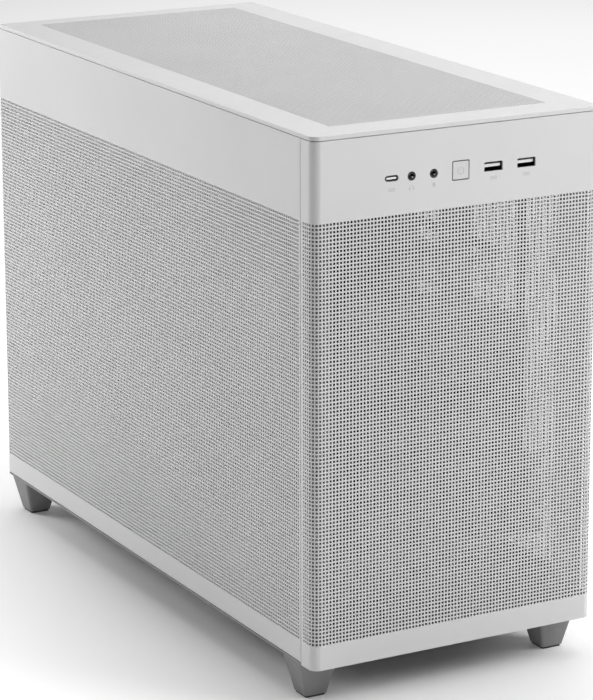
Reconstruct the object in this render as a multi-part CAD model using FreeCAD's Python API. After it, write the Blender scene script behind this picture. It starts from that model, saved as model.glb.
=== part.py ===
import FreeCAD, Part
import os
from math import cos, sin, tan, radians

V = FreeCAD.Vector
X, Y, Z = V(1, 0, 0), V(0, 1, 0), V(0, 0, 1)

# ---- overall size, mm. Front towards -Y, middle of the footprint at x = y = 0. The shapes are
# drawn with the floor at z = FLOOR, and every part is lifted as it is written so that the pads
# stand on z = 0. ----
FLOOR = -6.0
WIDTH, DEPTH, HEIGHT = 204.0, 460.0, 354.0
HALF_W, FRONT, REAR = WIDTH / 2, -DEPTH / 2, DEPTH / 2
SIDES = (-1, 1)

# ---- outer skin ----
SKIN = 1.0                        # sheet of the covers and side panels
CORNER_R = 6.0                    # vertical front corners
WRAP_BACK = FRONT + 14.9          # rear edge of the front cover
PANEL_FRONT = WRAP_BACK + 0.7     # front edge of the side panels, after the seam
FOOT_TOP = 20.0
FOOT_X, FOOT_Y, FOOT_SCREW_Y = 87.5, (-200.5, 215.5), (-200.5, 208.0)
PAN_TOP = FOOT_TOP + 1.2
PANEL_BASE, PANEL_TOP = 21.6, 351.0
LID_RIM, LID_SHEET = 2.2, 1.2
HEM = 5.0                         # returned edges of the side panels

# ---- chassis ----
RAIL_OUT, RAIL_IN = 95.5, 94.5
FRAME_FRONT, FRAME_BACK = -210.0, -209.0
WALL_IN, WALL_OUT = 217.0, 218.0  # rear panel
DECK_BASE, DECK_TOP = 345.0, 346.0
RAIL_FRONT, RAIL_BACK = -194.0, 214.0
TRAY = (78.0, 79.0)

# ---- ball studs of the removable panels ----
STUD_LENGTH, STUD_BALL_R, SOCKET_R, SOCKET_BORE = 8.0, 2.5, 5.5, 2.9
SIDE_STUD_Y, SIDE_STUD_Z = (-180.0, 0.0, 180.0), (36.0, 334.0)
FRONT_STUD_X, FRONT_STUD_Z = 88.0, (38.0, 250.0, 332.0)
LID_STUD_X, LID_STUD_Y = 84.0, (-190.0, 0.0, 200.0)

# ---- front ports, all on one line ----
IO_Z = 323.85
USB_C_X, HEADPHONE_X, MIC_X, BUTTON_X = -48.0, -34.1, -18.6, 0.4
USB_A_X = (23.7, 47.5)
BUTTON, BUTTON_GAP, BUTTON_TRAVEL = 10.9, 0.55, 1.2
JACK_NOSE_R, JACK_BORE_R = 2.65, 1.8
IO_BOARD_TOP = 319.9

# ---- motherboard (micro-ATX, 244 mm square) ----
BOARD_FACE, BOARD_BACK = 70.0, 71.6
BOARD_REAR, BOARD_TOP, BOARD_SIDE = 213.0, 322.0, 244.0
BOARD_HOLES = [(205, 315.6), (84, 315.6), (-24, 315.6), (205, 167), (78, 164), (-24, 167),
               (205, 83), (84, 83), (-24, 83)]
CPU = (128.0, 242.0)              # Y, Z of the processor
SLOT_Z = (152.0, 131.7, 111.4, 91.0)
CARD_OFFSET = 2.0                 # card centre plane above its slot's centre
SOCKET_SLOTS = (0, 2, 3)
MEMORY_Y = (74.0, 64.5, 55.0, 45.5)
FITTED_MEMORY = (1, 3)
MAIN_POWER, CPU_POWER, PANEL_HEADER = (-25.0, 262.0), (177.5, 311.0), (10.0, 88.0)
CPU_FAN_HEADER, REAR_FAN_HEADER = (96.0, 318.5), (180.0, 205.0)
IO_APERTURE = (28.0, 72.45, 162.25, 321.0)
REAR_PORTS = [(54.5, 291.0, 306.5), (56.0, 263.0, 279.0), (54.5, 239.0, 254.5),
              (42.0, 212.0, 228.0)]
REAR_JACK_Z = (181.0, 191.0, 201.0)

# ---- fans ----
FAN, FAN_DEPTH, FAN_HOLES, FAN_BORE, FAN_TIP = 120.0, 25.0, 105.0, 58.5, 57.0
REAR_FAN = (-34.0, 276.0)
COOLER_FAN_X, COOLER_FAN_FRONT = -33.0, 78.0
DECK_FAN_Y = (-115.0, 5.0, 125.0)

# ---- graphics card ----
CARD_FRONT, CARD_REAR = 46.0, 214.0
CARD_LOW, CARD_HIGH = 153.2, 154.8
CARD_FAN, CARD_FAN_R = (3.0, 131.0), 41.5

# ---- power supply (ATX, 150 x 86 x 140 mm, stood on end) ----
PSU = (-85.0, 65.0, -207.0, -121.0, 78.0, 218.0)
PSU_FAN = (-10.0, 148.0)
PSU_PORT_Y, PSU_INLET_X, ROCKER_X = -164.0, 40.0, 5.0
WALL_INLET = (40.0, 50.0)
ROCKER_PIVOT, ROCKER_R, ROCKER_TILT = 79.0, 9.0, 8.0
CABLE_OUTLETS = [(10.0, -150.0, 5.5), (45.0, -150.0, 3.2)]

parts = {}


# ---------------------------------------------------------------- helpers
def box(x0, x1, y0, y1, z0, z1):
    x0, x1 = sorted((x0, x1))
    y0, y1 = sorted((y0, y1))
    z0, z1 = sorted((z0, z1))
    return Part.makeBox(x1 - x0, y1 - y0, z1 - z0, V(x0, y0, z0))


def rod(start, axis, r, length):
    return Part.makeCylinder(r, length, V(*start), axis)


def pipe(start, axis, r_out, r_in, length):
    return rod(start, axis, r_out, length).cut(rod(start, axis, r_in, length))


def join(*shapes):
    return shapes[0].multiFuse(list(shapes[1:])).removeSplitter() if len(shapes) > 1 else shapes[0]


def cut(shape, tools):
    return shape.cut(list(tools))


def group(*solids):
    return Part.makeCompound(list(solids))


def soften(shape, axis, r):
    """Round the straight edges that run along one axis."""
    edges = [e for e in shape.Edges if len(e.Vertexes) == 2 and
             abs(abs((e.Vertexes[1].Point - e.Vertexes[0].Point).normalize().dot(axis)) - 1) < 1e-6]
    return shape.makeFillet(r, edges)


def pill(x, z, width, height, y0, y1):
    """Stadium-shaped bar along Y, its round ends to the left and right."""
    r, half = height / 2, width / 2 - height / 2
    ends = [rod((x + s * half, y0, z), Y, r, y1 - y0) for s in SIDES]
    return join(box(x - half, x + half, y0, y1, z - r, z + r), *ends)


def lattice(x0, x1, y0, y1, z0, z1, nx, nz, bar):
    """Window cutters in an X-Z plate: nx by nz openings with bars between them."""
    dx, dz = (x1 - x0 + bar) / nx, (z1 - z0 + bar) / nz
    return [box(x0 + i * dx, x0 + (i + 1) * dx - bar, y0, y1, z0 + j * dz, z0 + (j + 1) * dz - bar)
            for i in range(nx) for j in range(nz)]


def wrap_outline(inset, back):
    """Plan outline with rounded front corners, set in from the outer faces."""
    hw, f, r = HALF_W - inset, FRONT + inset, CORNER_R - inset
    k = r * (1 - cos(radians(45)))
    a, b, c, d = V(-hw, back, 0), V(-hw, f + r, 0), V(-hw + r, f, 0), V(hw - r, f, 0)
    e, g = V(hw, f + r, 0), V(hw, back, 0)
    edges = [Part.makeLine(a, b), Part.Arc(b, V(-hw + k, f + k, 0), c).toShape(), Part.makeLine(c, d),
             Part.Arc(d, V(hw - k, f + k, 0), e).toShape(), Part.makeLine(e, g), Part.makeLine(g, a)]
    return Part.Face(Part.Wire(edges))


def wrap_block(inset, back, z0, z1):
    block = wrap_outline(inset, back).extrude(V(0, 0, z1 - z0))
    block.translate(V(0, 0, z0))
    return block


def stud(base, direction):
    """Ball stud riveted to a panel face."""
    d = V(*direction)
    neck = rod(base, d, 1.6, STUD_LENGTH)
    ball = Part.makeSphere(STUD_BALL_R, V(*base) + d * STUD_LENGTH, d)
    return join(rod(base, d, 4.0, 1.0), neck, ball)


def stud_socket(face, direction):
    """Push-in socket: collar on the outer face of a rail, sleeve through it."""
    d = V(*direction)
    start = V(*face) - d * 0.8
    return join(pipe(start, d, 6.5, SOCKET_BORE, 0.8), pipe(start, d, SOCKET_R, SOCKET_BORE, 7.3))


def tube(name, points, r):
    """Cable: straight runs joined by tangent arcs."""
    pts = [V(*p) for p in points]
    edges, start, length, radii = [], pts[0], 0.0, []
    for before, corner, after in zip(pts, pts[1:], pts[2:]):
        u, w = (corner - before).normalize(), (after - corner).normalize()
        turn = u.getAngle(w)
        bend = 0.45 * min((corner - before).Length, (after - corner).Length) / tan(turn / 2)
        reach = bend * tan(turn / 2)
        p, q = corner - u * reach, corner + w * reach
        inward = (w - u).normalize()
        middle = corner + inward * (bend / cos(turn / 2) - bend)
        edges += [Part.LineSegment(start, p).toShape(), Part.Arc(p, middle, q).toShape()]
        length += (p - start).Length + bend * turn
        radii.append(round(bend, 1))
        start = q
    edges.append(Part.LineSegment(start, pts[-1]).toShape())
    length += (pts[-1] - start).Length
    profile = Part.Wire(Part.makeCircle(r, pts[0], pts[1] - pts[0]))
    solid = Part.Wire(edges).makePipeShell([profile], True, True)
    ratio = solid.Volume / (3.14159265 * r * r * length)
    print("%s: length %.0f mm, bends %s, volume ratio %.4f" % (name, length, radii, ratio))
    return solid


def place(shape, origin, axis):
    """Carry a shape built along +Z onto another axis."""
    shape.Placement = FreeCAD.Placement(V(*origin), FreeCAD.Rotation(Z, axis))
    return shape


def screw(start, axis, head_r, head_h, shank_r, shank_l):
    """Pan-head screw; start is the free face of the head, axis points into the work."""
    p = V(*start)
    head = rod(p, axis, head_r, head_h).cut(rod(p, axis, head_r * 0.35, head_h * 0.5))
    return join(head, rod(p + axis * head_h, axis, shank_r, shank_l))


# ---------------------------------------------------------------- fans
def rotor(hub_r, tip_r, depth, blades):
    """Axial fan wheel along +Z: closed hub and twisted blades."""
    hub = soften_top(rod((0, 0, 0), Z, hub_r, depth))
    sections = []
    for r, pitch in ((hub_r - 1.0, 46.0), ((hub_r + tip_r) / 2, 35.0), (tip_r + 1.0, 27.0)):
        b = radians(pitch)
        chord = V(0, cos(b), sin(b)) * ((depth - 3.0) / sin(b) / 2)
        skin = V(0, -sin(b), cos(b)) * 0.7
        mid = V(r, 0, depth / 2)
        corners = [mid - chord - skin, mid + chord - skin, mid + chord + skin, mid - chord + skin]
        sections.append(Part.makePolygon(corners + corners[:1]))
    blade = Part.makeLoft(sections, True, True).common(rod((0, 0, 0), Z, tip_r, depth))
    fan = [hub]
    for i in range(blades):
        copy = blade.copy()
        copy.rotate(V(0, 0, 0), Z, 360.0 * i / blades)
        fan.append(copy)
    return join(*fan)


def soften_top(cylinder):
    rim = max(cylinder.Edges, key=lambda e: e.BoundBox.ZMin)
    return cylinder.makeFillet(1.5, [rim])


def fan_frame(cx, y0, cz, strut_side):
    """Square fan housing along Y with four struts that carry the motor base."""
    half, y1 = FAN / 2, y0 + FAN_DEPTH
    frame = soften(box(cx - half, cx + half, y0, y1, cz - half, cz + half), Y, 5.0)
    holes = [rod((cx + sx * FAN_HOLES / 2, y0, cz + sz * FAN_HOLES / 2), Y, 2.15, FAN_DEPTH)
             for sx in SIDES for sz in SIDES]
    waists = [box(cx + sx * 47, cx + sx * 61, y0 + 4.5, y1 - 4.5, cz + sz * 30, cz + sz * 61)
              for sx in SIDES for sz in SIDES]
    posts = [pipe((cx + sx * FAN_HOLES / 2, y0, cz + sz * FAN_HOLES / 2), Y, 4.2, 2.15, FAN_DEPTH)
             for sx in SIDES for sz in SIDES]
    shell = pipe((cx, y0, cz), Y, FAN_BORE + 1.4, FAN_BORE, FAN_DEPTH)
    bore = rod((cx, y0, cz), Y, FAN_BORE, FAN_DEPTH)
    body = cut(frame, [bore] + holes + waists)
    strut_y = y1 - 3.0 if strut_side > 0 else y0
    struts = []
    for i in range(4):
        bar = box(-FAN_BORE - 0.6, -18.0, 0, 3.0, -2.0, 2.0)
        bar.rotate(V(0, 0, 0), Y, 45.0 + 90.0 * i)
        bar.translate(V(cx, strut_y, cz))
        struts.append(bar)
    return join(body, shell, rod((cx, strut_y, cz), Y, 19.0, 3.0), *(posts + struts))


def make_fans():
    rx, rz = REAR_FAN
    parts["rear_fan_frame"] = fan_frame(rx, WALL_IN - FAN_DEPTH, rz, 1)
    parts["rear_fan_rotor"] = place(rotor(19.0, FAN_TIP, 20.5, 9), (rx, WALL_IN - 3.8, rz), -Y)
    parts["cooler_fan_frame"] = fan_frame(COOLER_FAN_X, COOLER_FAN_FRONT, CPU[1], 1)
    parts["cooler_fan_rotor"] = place(rotor(19.0, FAN_TIP, 20.5, 9),
                                      (COOLER_FAN_X, COOLER_FAN_FRONT + 21.2, CPU[1]), -Y)


# ---------------------------------------------------------------- chassis
def socket_holes(points, axis):
    return [rod(V(*p) - axis * 3, axis, SOCKET_R, 6.0) for p in points]


def make_chassis():
    floor = box(-HALF_W, HALF_W, PANEL_FRONT - 0.4, REAR, FOOT_TOP, PAN_TOP)
    vents = [box(x - 3, x + 3, y, y + 70, FOOT_TOP, PAN_TOP)
             for x in range(-66, 67, 12) for y in (-60, 30, 120) if not 34 < x < 60]
    bolts = [rod((s * FOOT_X, y, FOOT_TOP), Z, 1.9, 1.2) for s in SIDES for y in FOOT_SCREW_Y]
    rails = [box(s * RAIL_IN, s * RAIL_OUT, RAIL_FRONT, RAIL_BACK, PAN_TOP, 46.0) for s in SIDES]
    holes = socket_holes([(s * 95, y, SIDE_STUD_Z[0]) for s in SIDES for y in SIDE_STUD_Y], X)
    parts["base_pan"] = cut(join(floor, *rails), vents + bolts + holes)

    plate = box(-RAIL_OUT, RAIL_OUT, FRAME_FRONT, FRAME_BACK, PAN_TOP, DECK_BASE)
    wings = [box(s * RAIL_IN, s * RAIL_OUT, FRAME_BACK, RAIL_FRONT - 1, PAN_TOP, DECK_BASE) for s in SIDES]
    windows = [box(-66, 66, FRAME_FRONT, FRAME_BACK, 311.0, 338.0)]
    windows += lattice(-70.0, 50.6, FRAME_FRONT, FRAME_BACK, 53.5, 174.0, 5, 5, 3.0)
    windows += lattice(-70.0, 50.6, FRAME_FRONT, FRAME_BACK, 183.0, 279.0, 5, 4, 3.0)
    windows += [rod((x, FRAME_FRONT, z), Y, 1.9, 1.0)
                for x, z in [(-91.0, 90), (-91.0, 118), (71.0, 90), (71.0, 118), (-70.5, 322), (70.5, 322)]]
    windows += socket_holes([(s * FRONT_STUD_X, -209.5, z) for s in SIDES for z in FRONT_STUD_Z], Y)
    parts["front_frame"] = cut(join(plate, *wings), windows)

    deck = box(-RAIL_OUT, RAIL_OUT, FRAME_BACK, REAR - 0.4, DECK_BASE, DECK_TOP)
    skirts = [box(s * RAIL_IN, s * RAIL_OUT, RAIL_FRONT, RAIL_BACK, 322.0, DECK_BASE) for s in SIDES]
    holes = socket_holes([(s * 95, y, SIDE_STUD_Z[1]) for s in SIDES for y in SIDE_STUD_Y], X)
    holes += socket_holes([(s * LID_STUD_X, y, 345.5) for s in SIDES for y in LID_STUD_Y], Z)
    for y in DECK_FAN_Y:
        holes.append(rod((0, y, DECK_BASE), Z, 57.0, 1.0))
        holes += [rod((sx * FAN_HOLES / 2, y + sy * FAN_HOLES / 2, DECK_BASE), Z, 2.15, 1.0)
                  for sx in SIDES for sy in SIDES]
    parts["top_frame"] = cut(join(deck, *skirts), holes)

    x0, x1 = TRAY
    tray = join(box(x0, x1, -118.0, WALL_IN, PAN_TOP, 338.0),
                box(x1, 94.0, -118.0, 198.0, PAN_TOP, PAN_TOP + 1))
    windows = [box(x0, x1, CPU[0] - 50, CPU[0] + 50, CPU[1] - 50, CPU[1] + 50)]
    windows += [soften(box(x0, x1, -78, -48, z, z + 60), X, 8.0) for z in (60, 148, 236)]
    windows += [box(x0, x1, 166, 189, 306, 338), box(x0, x1, -16, 26, 44, 74)]
    windows += [rod((x0, y, z), X, 1.6, 1.0) for y, z in BOARD_HOLES]
    parts["motherboard_tray"] = cut(tray, windows)


def make_rear_panel():
    plate = box(-RAIL_OUT, RAIL_OUT, WALL_IN, WALL_OUT, PAN_TOP, DECK_BASE)
    rim = [box(s * RAIL_IN, s * RAIL_OUT, WALL_OUT, REAR - 0.4, PAN_TOP, DECK_BASE) for s in SIDES]
    rim.append(box(-RAIL_IN, RAIL_IN, WALL_OUT, REAR - 0.4, DECK_BASE - 1, DECK_BASE))
    low, high = SLOT_Z[-1] - 10.5, SLOT_Z[0] + 10.5
    ledge = box(-53, -52, WALL_OUT, REAR - 1, low, high)
    fx, fz = REAR_FAN
    x0, x1, z0, z1 = IO_APERTURE
    openings = [box(x0, x1, WALL_IN, WALL_OUT, z0, z1), rod((fx, WALL_IN, fz), Y, 57.5, 1.0),
                box(-66, -53, WALL_IN, WALL_OUT, low, high)]
    openings += [box(-46, 52, WALL_IN, WALL_OUT, z - 6.2, z + 6.2) for z in SLOT_Z]
    openings += [rod((-53, 223.5, z), X, 1.9, 1.0) for z in SLOT_Z]
    openings += [rod((fx + sx * FAN_HOLES / 2, WALL_IN, fz + sz * FAN_HOLES / 2), Y, 2.2, 1.0)
                 for sx in SIDES for sz in SIDES]
    openings += lattice(-91.0, -70.0, WALL_IN, WALL_OUT, 86.0, 204.0, 2, 9, 3.0)
    openings.append(box(WALL_INLET[0] - 13.8, WALL_INLET[0] + 13.8, WALL_IN, WALL_OUT,
                        WALL_INLET[1] - 10.1, WALL_INLET[1] + 10.1))
    grille = [pipe((fx, WALL_IN, fz), Y, r + 1.0, r - 1.0, 1.0) for r in (14, 25, 36, 47)]
    for angle in (45, -45):
        spoke = box(-58, 58, 0, 1, -1.6, 1.6)
        spoke.rotate(V(0, 0, 0), Y, angle)
        spoke.translate(V(fx, WALL_IN, fz))
        grille.append(spoke)
    parts["rear_panel"] = join(cut(join(plate, ledge, *rim), openings), *grille)


def make_feet():
    def ring(cx, cy, z, size, r):
        block = soften(box(cx - size / 2, cx + size / 2, cy - size / 2, cy + size / 2, z, z + 1), Z, r)
        return min((f for f in block.Faces), key=lambda f: f.CenterOfMass.z).OuterWire

    pads = []
    for side, sx in (("left", -1), ("right", 1)):
        for end, cy, bolt_y in (("front", FOOT_Y[0], FOOT_SCREW_Y[0]), ("rear", FOOT_Y[1], FOOT_SCREW_Y[1])):
            cx = sx * FOOT_X
            leg = Part.makeLoft([ring(cx, cy, FLOOR + 1.5, 15.6, 1.6), ring(cx, cy, FOOT_TOP, 27.0, 2.6)],
                                True, True)
            parts["%s_%s_foot" % (end, side)] = leg.cut(rod((cx, bolt_y, FOOT_TOP - 11.0), Z, 1.6, 11.0))
            pads.append(soften(box(cx - 6.9, cx + 6.9, cy - 6.9, cy + 6.9, FLOOR, FLOOR + 1.5), Z, 1.2))
    parts["foot_pads"] = group(*pads)


# ---------------------------------------------------------------- outer covers
def make_front_cover():
    skin = wrap_block(0, WRAP_BACK, FOOT_TOP, PANEL_TOP).cut(
        wrap_block(SKIN, WRAP_BACK + 5, FOOT_TOP - 1, PANEL_TOP + 1))
    lips = [wrap_block(SKIN, FRONT + 9.0, z, z + SKIN) for z in (FOOT_TOP, PANEL_TOP - SKIN)]
    flanges = [box(s * 82.0, s * (HALF_W - SKIN), WRAP_BACK - SKIN, WRAP_BACK, FOOT_TOP, PANEL_TOP)
               for s in SIDES]
    y0, y1 = FRONT - 1, FRONT + 3
    half = BUTTON / 2 + BUTTON_GAP
    ports = [pill(USB_C_X, IO_Z, 9.5, 3.7, y0, y1)]
    ports += [rod((x, y0, IO_Z), Y, JACK_NOSE_R + 0.2, 4.0) for x in (HEADPHONE_X, MIC_X)]
    ports.append(soften(box(BUTTON_X - half, BUTTON_X + half, y0, y1, IO_Z - half, IO_Z + half), Y, 1.0))
    ports += [box(x - 6.55, x + 6.55, y0, y1, IO_Z - 2.9, IO_Z + 2.9) for x in USB_A_X]
    parts["front_cover"] = cut(join(skin, *(lips + flanges)), ports)
    parts["front_cover_studs"] = group(*[stud((s * FRONT_STUD_X, WRAP_BACK, z), (0, 1, 0))
                                         for s in SIDES for z in FRONT_STUD_Z])


def make_side_panels():
    for name, s in (("left", -1), ("right", 1)):
        outer, inner, hem = s * HALF_W, s * (HALF_W - SKIN), s * (HALF_W - SKIN - HEM)
        skin = box(inner, outer, PANEL_FRONT, REAR, PANEL_BASE, PANEL_TOP)
        hems = [box(hem, inner, PANEL_FRONT, PANEL_FRONT + SKIN, PANEL_BASE, PANEL_TOP),
                box(hem, inner, REAR - SKIN, REAR, PANEL_BASE, PANEL_TOP),
                box(hem, inner, PANEL_FRONT, REAR, PANEL_BASE, PANEL_BASE + SKIN),
                box(hem, inner, PANEL_FRONT, REAR, PANEL_TOP - SKIN, PANEL_TOP)]
        parts[name + "_side_panel"] = join(skin, *hems)
        parts[name + "_panel_studs"] = group(*[stud((inner, y, z), (-s, 0, 0))
                                               for y in SIDE_STUD_Y for z in SIDE_STUD_Z])


def make_top_cover():
    top, under = HEIGHT, HEIGHT - LID_SHEET
    sheet = wrap_block(0, REAR, under, top)
    rim = wrap_block(0, REAR, HEIGHT - LID_RIM, under).cut(
        wrap_block(1.2, REAR - 1.2, HEIGHT - LID_RIM - 1, under + 1))
    lid = join(sheet, rim)
    crown = [e for e in lid.Edges if e.BoundBox.ZMin > top - 1e-6]
    parts["top_cover"] = lid.makeFillet(0.5, crown)
    parts["top_cover_studs"] = group(*[stud((s * LID_STUD_X, y, under), (0, 0, -1))
                                       for s in SIDES for y in LID_STUD_Y])


def make_stud_sockets():
    sockets = [stud_socket((s * RAIL_OUT, y, z), (-s, 0, 0))
               for s in SIDES for y in SIDE_STUD_Y for z in SIDE_STUD_Z]
    sockets += [stud_socket((s * FRONT_STUD_X, FRAME_FRONT, z), (0, 1, 0))
                for s in SIDES for z in FRONT_STUD_Z]
    sockets += [stud_socket((s * LID_STUD_X, y, DECK_TOP), (0, 0, -1)) for s in SIDES for y in LID_STUD_Y]
    parts["stud_sockets"] = group(*sockets)


# ---------------------------------------------------------------- front ports
def make_front_ports():
    base = IO_BOARD_TOP - 6.4
    tray = [box(-64, 64, -226, -196, base, base + 1.5)]
    tray += [box(s * 62.8, s * 64, -226, -196, base, 330) for s in SIDES]
    tray += [box(s * 64, s * 75, FRAME_FRONT - 1.2, FRAME_FRONT, 315, 330) for s in SIDES]
    tray += [rod((x, y, base), Z, 2.5, 4.8) for x in (-56, 56) for y in (-206, -200)]
    guide = box(BUTTON_X - 8, BUTTON_X + 8, -226, -224.4, base, 331)
    holes = [rod((s * 70.5, FRAME_FRONT - 1.2, 322), Y, 1.9, 1.2) for s in SIDES]
    holes.append(box(BUTTON_X - 3.3, BUTTON_X + 3.3, -226, -224.4, IO_Z - 3.3, IO_Z + 3.3))
    parts["front_io_bracket"] = cut(join(guide, *tray), holes)
    parts["front_io_board"] = box(-62, 62, -224, -198, IO_BOARD_TOP - 1.6, IO_BOARD_TOP)

    mouth = -228.7
    shells, tongues = [], []
    for x in USB_A_X:
        shell = box(x - 7.25, x + 7.25, mouth, mouth + 15, IO_BOARD_TOP, IO_BOARD_TOP + 7.1)
        shells.append(shell.cut(box(x - 6.9, x + 6.9, mouth, mouth + 15, IO_BOARD_TOP + 0.35,
                                    IO_BOARD_TOP + 6.75)))
        tongues.append(join(box(x - 6.9, x + 6.9, mouth + 9, mouth + 15, IO_BOARD_TOP + 0.35,
                                IO_BOARD_TOP + 6.75),
                            box(x - 5.6, x + 5.6, mouth + 0.6, mouth + 9, IO_Z + 0.3, IO_Z + 2.2)))
    parts["usb_a_ports"] = group(*(shells + tongues))

    shell = pill(USB_C_X, IO_Z, 8.94, 3.16, FRONT + 0.2, -221).cut(
        pill(USB_C_X, IO_Z, 8.34, 2.56, FRONT + 0.2, -221))
    core = pill(USB_C_X, IO_Z, 8.94, 3.16, -221, -219)
    tongue = box(USB_C_X - 3.35, USB_C_X + 3.35, FRONT + 1.0, -221, IO_Z - 0.35, IO_Z + 0.35)
    foot = box(USB_C_X - 5.2, USB_C_X + 5.2, -223.5, -216, IO_BOARD_TOP, IO_Z - 1.58)
    heel = box(USB_C_X - 5.2, USB_C_X + 5.2, -219, -216, IO_BOARD_TOP, IO_Z + 1.6)
    parts["usb_c_port"] = join(shell, core, tongue, foot, heel)

    jacks = []
    for x in (HEADPHONE_X, MIC_X):
        nose = rod((x, FRONT + 0.2, IO_Z), Y, JACK_NOSE_R, 4.0)
        body = box(x - 4.0, x + 4.0, -226, -213, IO_BOARD_TOP, IO_BOARD_TOP + 7.4)
        jacks.append(join(nose, body).cut(rod((x, FRONT, IO_Z), Y, JACK_BORE_R, 15.0)))
    for z in REAR_JACK_Z:
        body = box(57.0, BOARD_FACE, 190.0, WALL_OUT + 0.4, z - 4.9, z + 4.9)
        jacks.append(body.cut(rod((63.5, WALL_OUT + 0.4, z), -Y, JACK_BORE_R, 14.0)))
    parts["audio_jacks"] = group(*jacks)

    half = BUTTON / 2
    cap = soften(box(BUTTON_X - half, BUTTON_X + half, FRONT, FRONT + 2.4, IO_Z - half, IO_Z + half), Y, 0.7)
    stem = box(BUTTON_X - 3, BUTTON_X + 3, FRONT + 2.4, -216.4, IO_Z - 3, IO_Z + 3)
    parts["power_button"] = join(cap, stem)
    plunger_gap = BUTTON_TRAVEL + 0.2
    parts["power_switch"] = box(BUTTON_X - 3.2, BUTTON_X + 3.2, -216.4 + plunger_gap, -208, IO_BOARD_TOP,
                                IO_Z + 3.2)


# ---------------------------------------------------------------- motherboard
def board_block(depth, y0, y1, z0, z1):
    """Block standing on the motherboard's face."""
    return box(BOARD_FACE - depth, BOARD_FACE, y0, y1, z0, z1)


def make_motherboard():
    y0, z0 = BOARD_REAR - BOARD_SIDE, BOARD_TOP - BOARD_SIDE
    board = box(BOARD_FACE, BOARD_BACK, y0, BOARD_REAR, z0, BOARD_TOP)
    parts["motherboard"] = cut(board, [rod((BOARD_FACE, y, z), X, 1.9, 1.6) for y, z in BOARD_HOLES])
    standoffs, screws = [], []
    for y, z in BOARD_HOLES:
        post = join(rod((BOARD_BACK, y, z), X, 3.0, TRAY[0] - BOARD_BACK), rod((TRAY[0], y, z), X, 1.55, 3.0))
        standoffs.append(post.cut(rod((BOARD_BACK, y, z), X, 1.5, 5.0)))
        screws.append(screw((BOARD_FACE - 2.0, y, z), X, 3.0, 2.0, 1.45, 5.5))
    parts["board_standoffs"] = group(*standoffs)
    parts["board_screws"] = group(*screws)

    solids = []
    for x, low, high in REAR_PORTS:
        solids.append(box(x, BOARD_FACE, 190.0, WALL_OUT + 0.4, low, high))
    for (y, z), dy, dz in ((MAIN_POWER, 5.0, 25.8), (CPU_POWER, 9.3, 5.0)):
        solids.append(board_block(13.0, y - dy, y + dy, z - dz, z + dz))
    solids += [board_block(9.0, PANEL_HEADER[0] - 6, PANEL_HEADER[0] + 6, PANEL_HEADER[1] - 4,
                           PANEL_HEADER[1] + 4)]
    solids += [board_block(8.0, y - 4, y + 4, z - 2.5, z + 2.5) for y, z in (CPU_FAN_HEADER, REAR_FAN_HEADER)]
    solids += [board_block(12.0, y0 + 1, y0 + 15, z, z + 14) for z in (112.0, 130.0)]
    parts["board_connectors"] = group(*solids)

    x0, x1, low, high = IO_APERTURE
    shield = box(x0 + 0.15, x1 - 0.15, WALL_OUT - 0.5, WALL_OUT, low + 0.15, high - 0.15)
    jack_row = (57.0, REAR_JACK_Z[0] - 4.9, REAR_JACK_Z[-1] + 4.9)
    parts["io_shield"] = cut(shield, [box(x - 0.3, BOARD_FACE + 0.3, WALL_IN, WALL_OUT + 1, a - 0.3, b + 0.3)
                                      for x, a, b in REAR_PORTS + [jack_row]])

    cy, cz = CPU
    socket = board_block(4.0, cy - 31, cy + 31, cz - 26, cz + 26).cut(
        box(66.0, 68.0, cy - 19.5, cy + 19.5, cz - 23, cz + 23))
    package = join(box(66.6, 68.0, cy - 19, cy + 19, cz - 22.5, cz + 22.5),
                   box(62.5, 66.6, cy - 15, cy + 15, cz - 18, cz + 18))
    parts["processor_socket"] = group(socket, package)

    sinks = []
    sizes = ((100, 160, 297, 313, 22, False), (170, 186, 214, 288, 24, True), (8, 48, 100, 138, 8, True))
    for sy0, sy1, sz0, sz1, depth, along_z in sizes:
        block = board_block(depth, sy0, sy1, sz0, sz1)
        if along_z:
            grooves = [box(0, BOARD_FACE - depth * 0.45, sy0, sy1, z, z + 2.6)
                       for z in range(sz0 + 4, sz1 - 4, 6)]
        else:
            grooves = [box(0, BOARD_FACE - depth * 0.45, y, y + 2.6, sz0, sz1)
                       for y in range(sy0 + 4, sy1 - 4, 6)]
        sinks.append(cut(block, grooves))
    parts["board_heatsinks"] = group(*sinks)

    slots, modules = [], []
    for i, y in enumerate(MEMORY_Y):
        slot = join(board_block(8.0, y - 3.2, y + 3.2, 178, 318),
                    board_block(16.0, y - 3.0, y + 3.0, 176, 180.5),
                    board_block(16.0, y - 3.0, y + 3.0, 316.8, 320))
        slots.append(slot.cut(box(62, 66, y - 0.8, y + 0.8, 181.8, 315.6)))
        if i in FITTED_MEMORY:
            modules.append(join(box(35, 65.5, y - 0.6, y + 0.6, 182, 315.35),
                                box(34, 60, y - 3.1, y + 3.1, 184, 313.5)))
    parts["memory_slots"] = group(*slots)
    parts["memory_modules"] = group(*modules)

    sockets = []
    for i in SOCKET_SLOTS:
        z = SLOT_Z[i] + CARD_OFFSET
        length = 89.0 if i != 2 else 25.0
        sockets.append(board_block(11.25, 202 - length, 202, z - 3.8, z + 3.8).cut(
            box(BOARD_FACE - 11.25, 66.2, 203 - length, 201, z - 1.0, z + 1.0)))
    parts["expansion_sockets"] = group(*sockets)

    drive = join(box(66.4, 67.2, 85, 165, 168, 190), box(64.9, 66.4, 95, 120, 171, 187),
                 box(65.2, 66.4, 126, 146, 172, 186), box(66.4, 70.0, 160, 169, 168, 190),
                 rod((66.0, 87.5, 179), X, 2.6, 4.0))
    parts["solid_state_drive"] = drive


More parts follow.
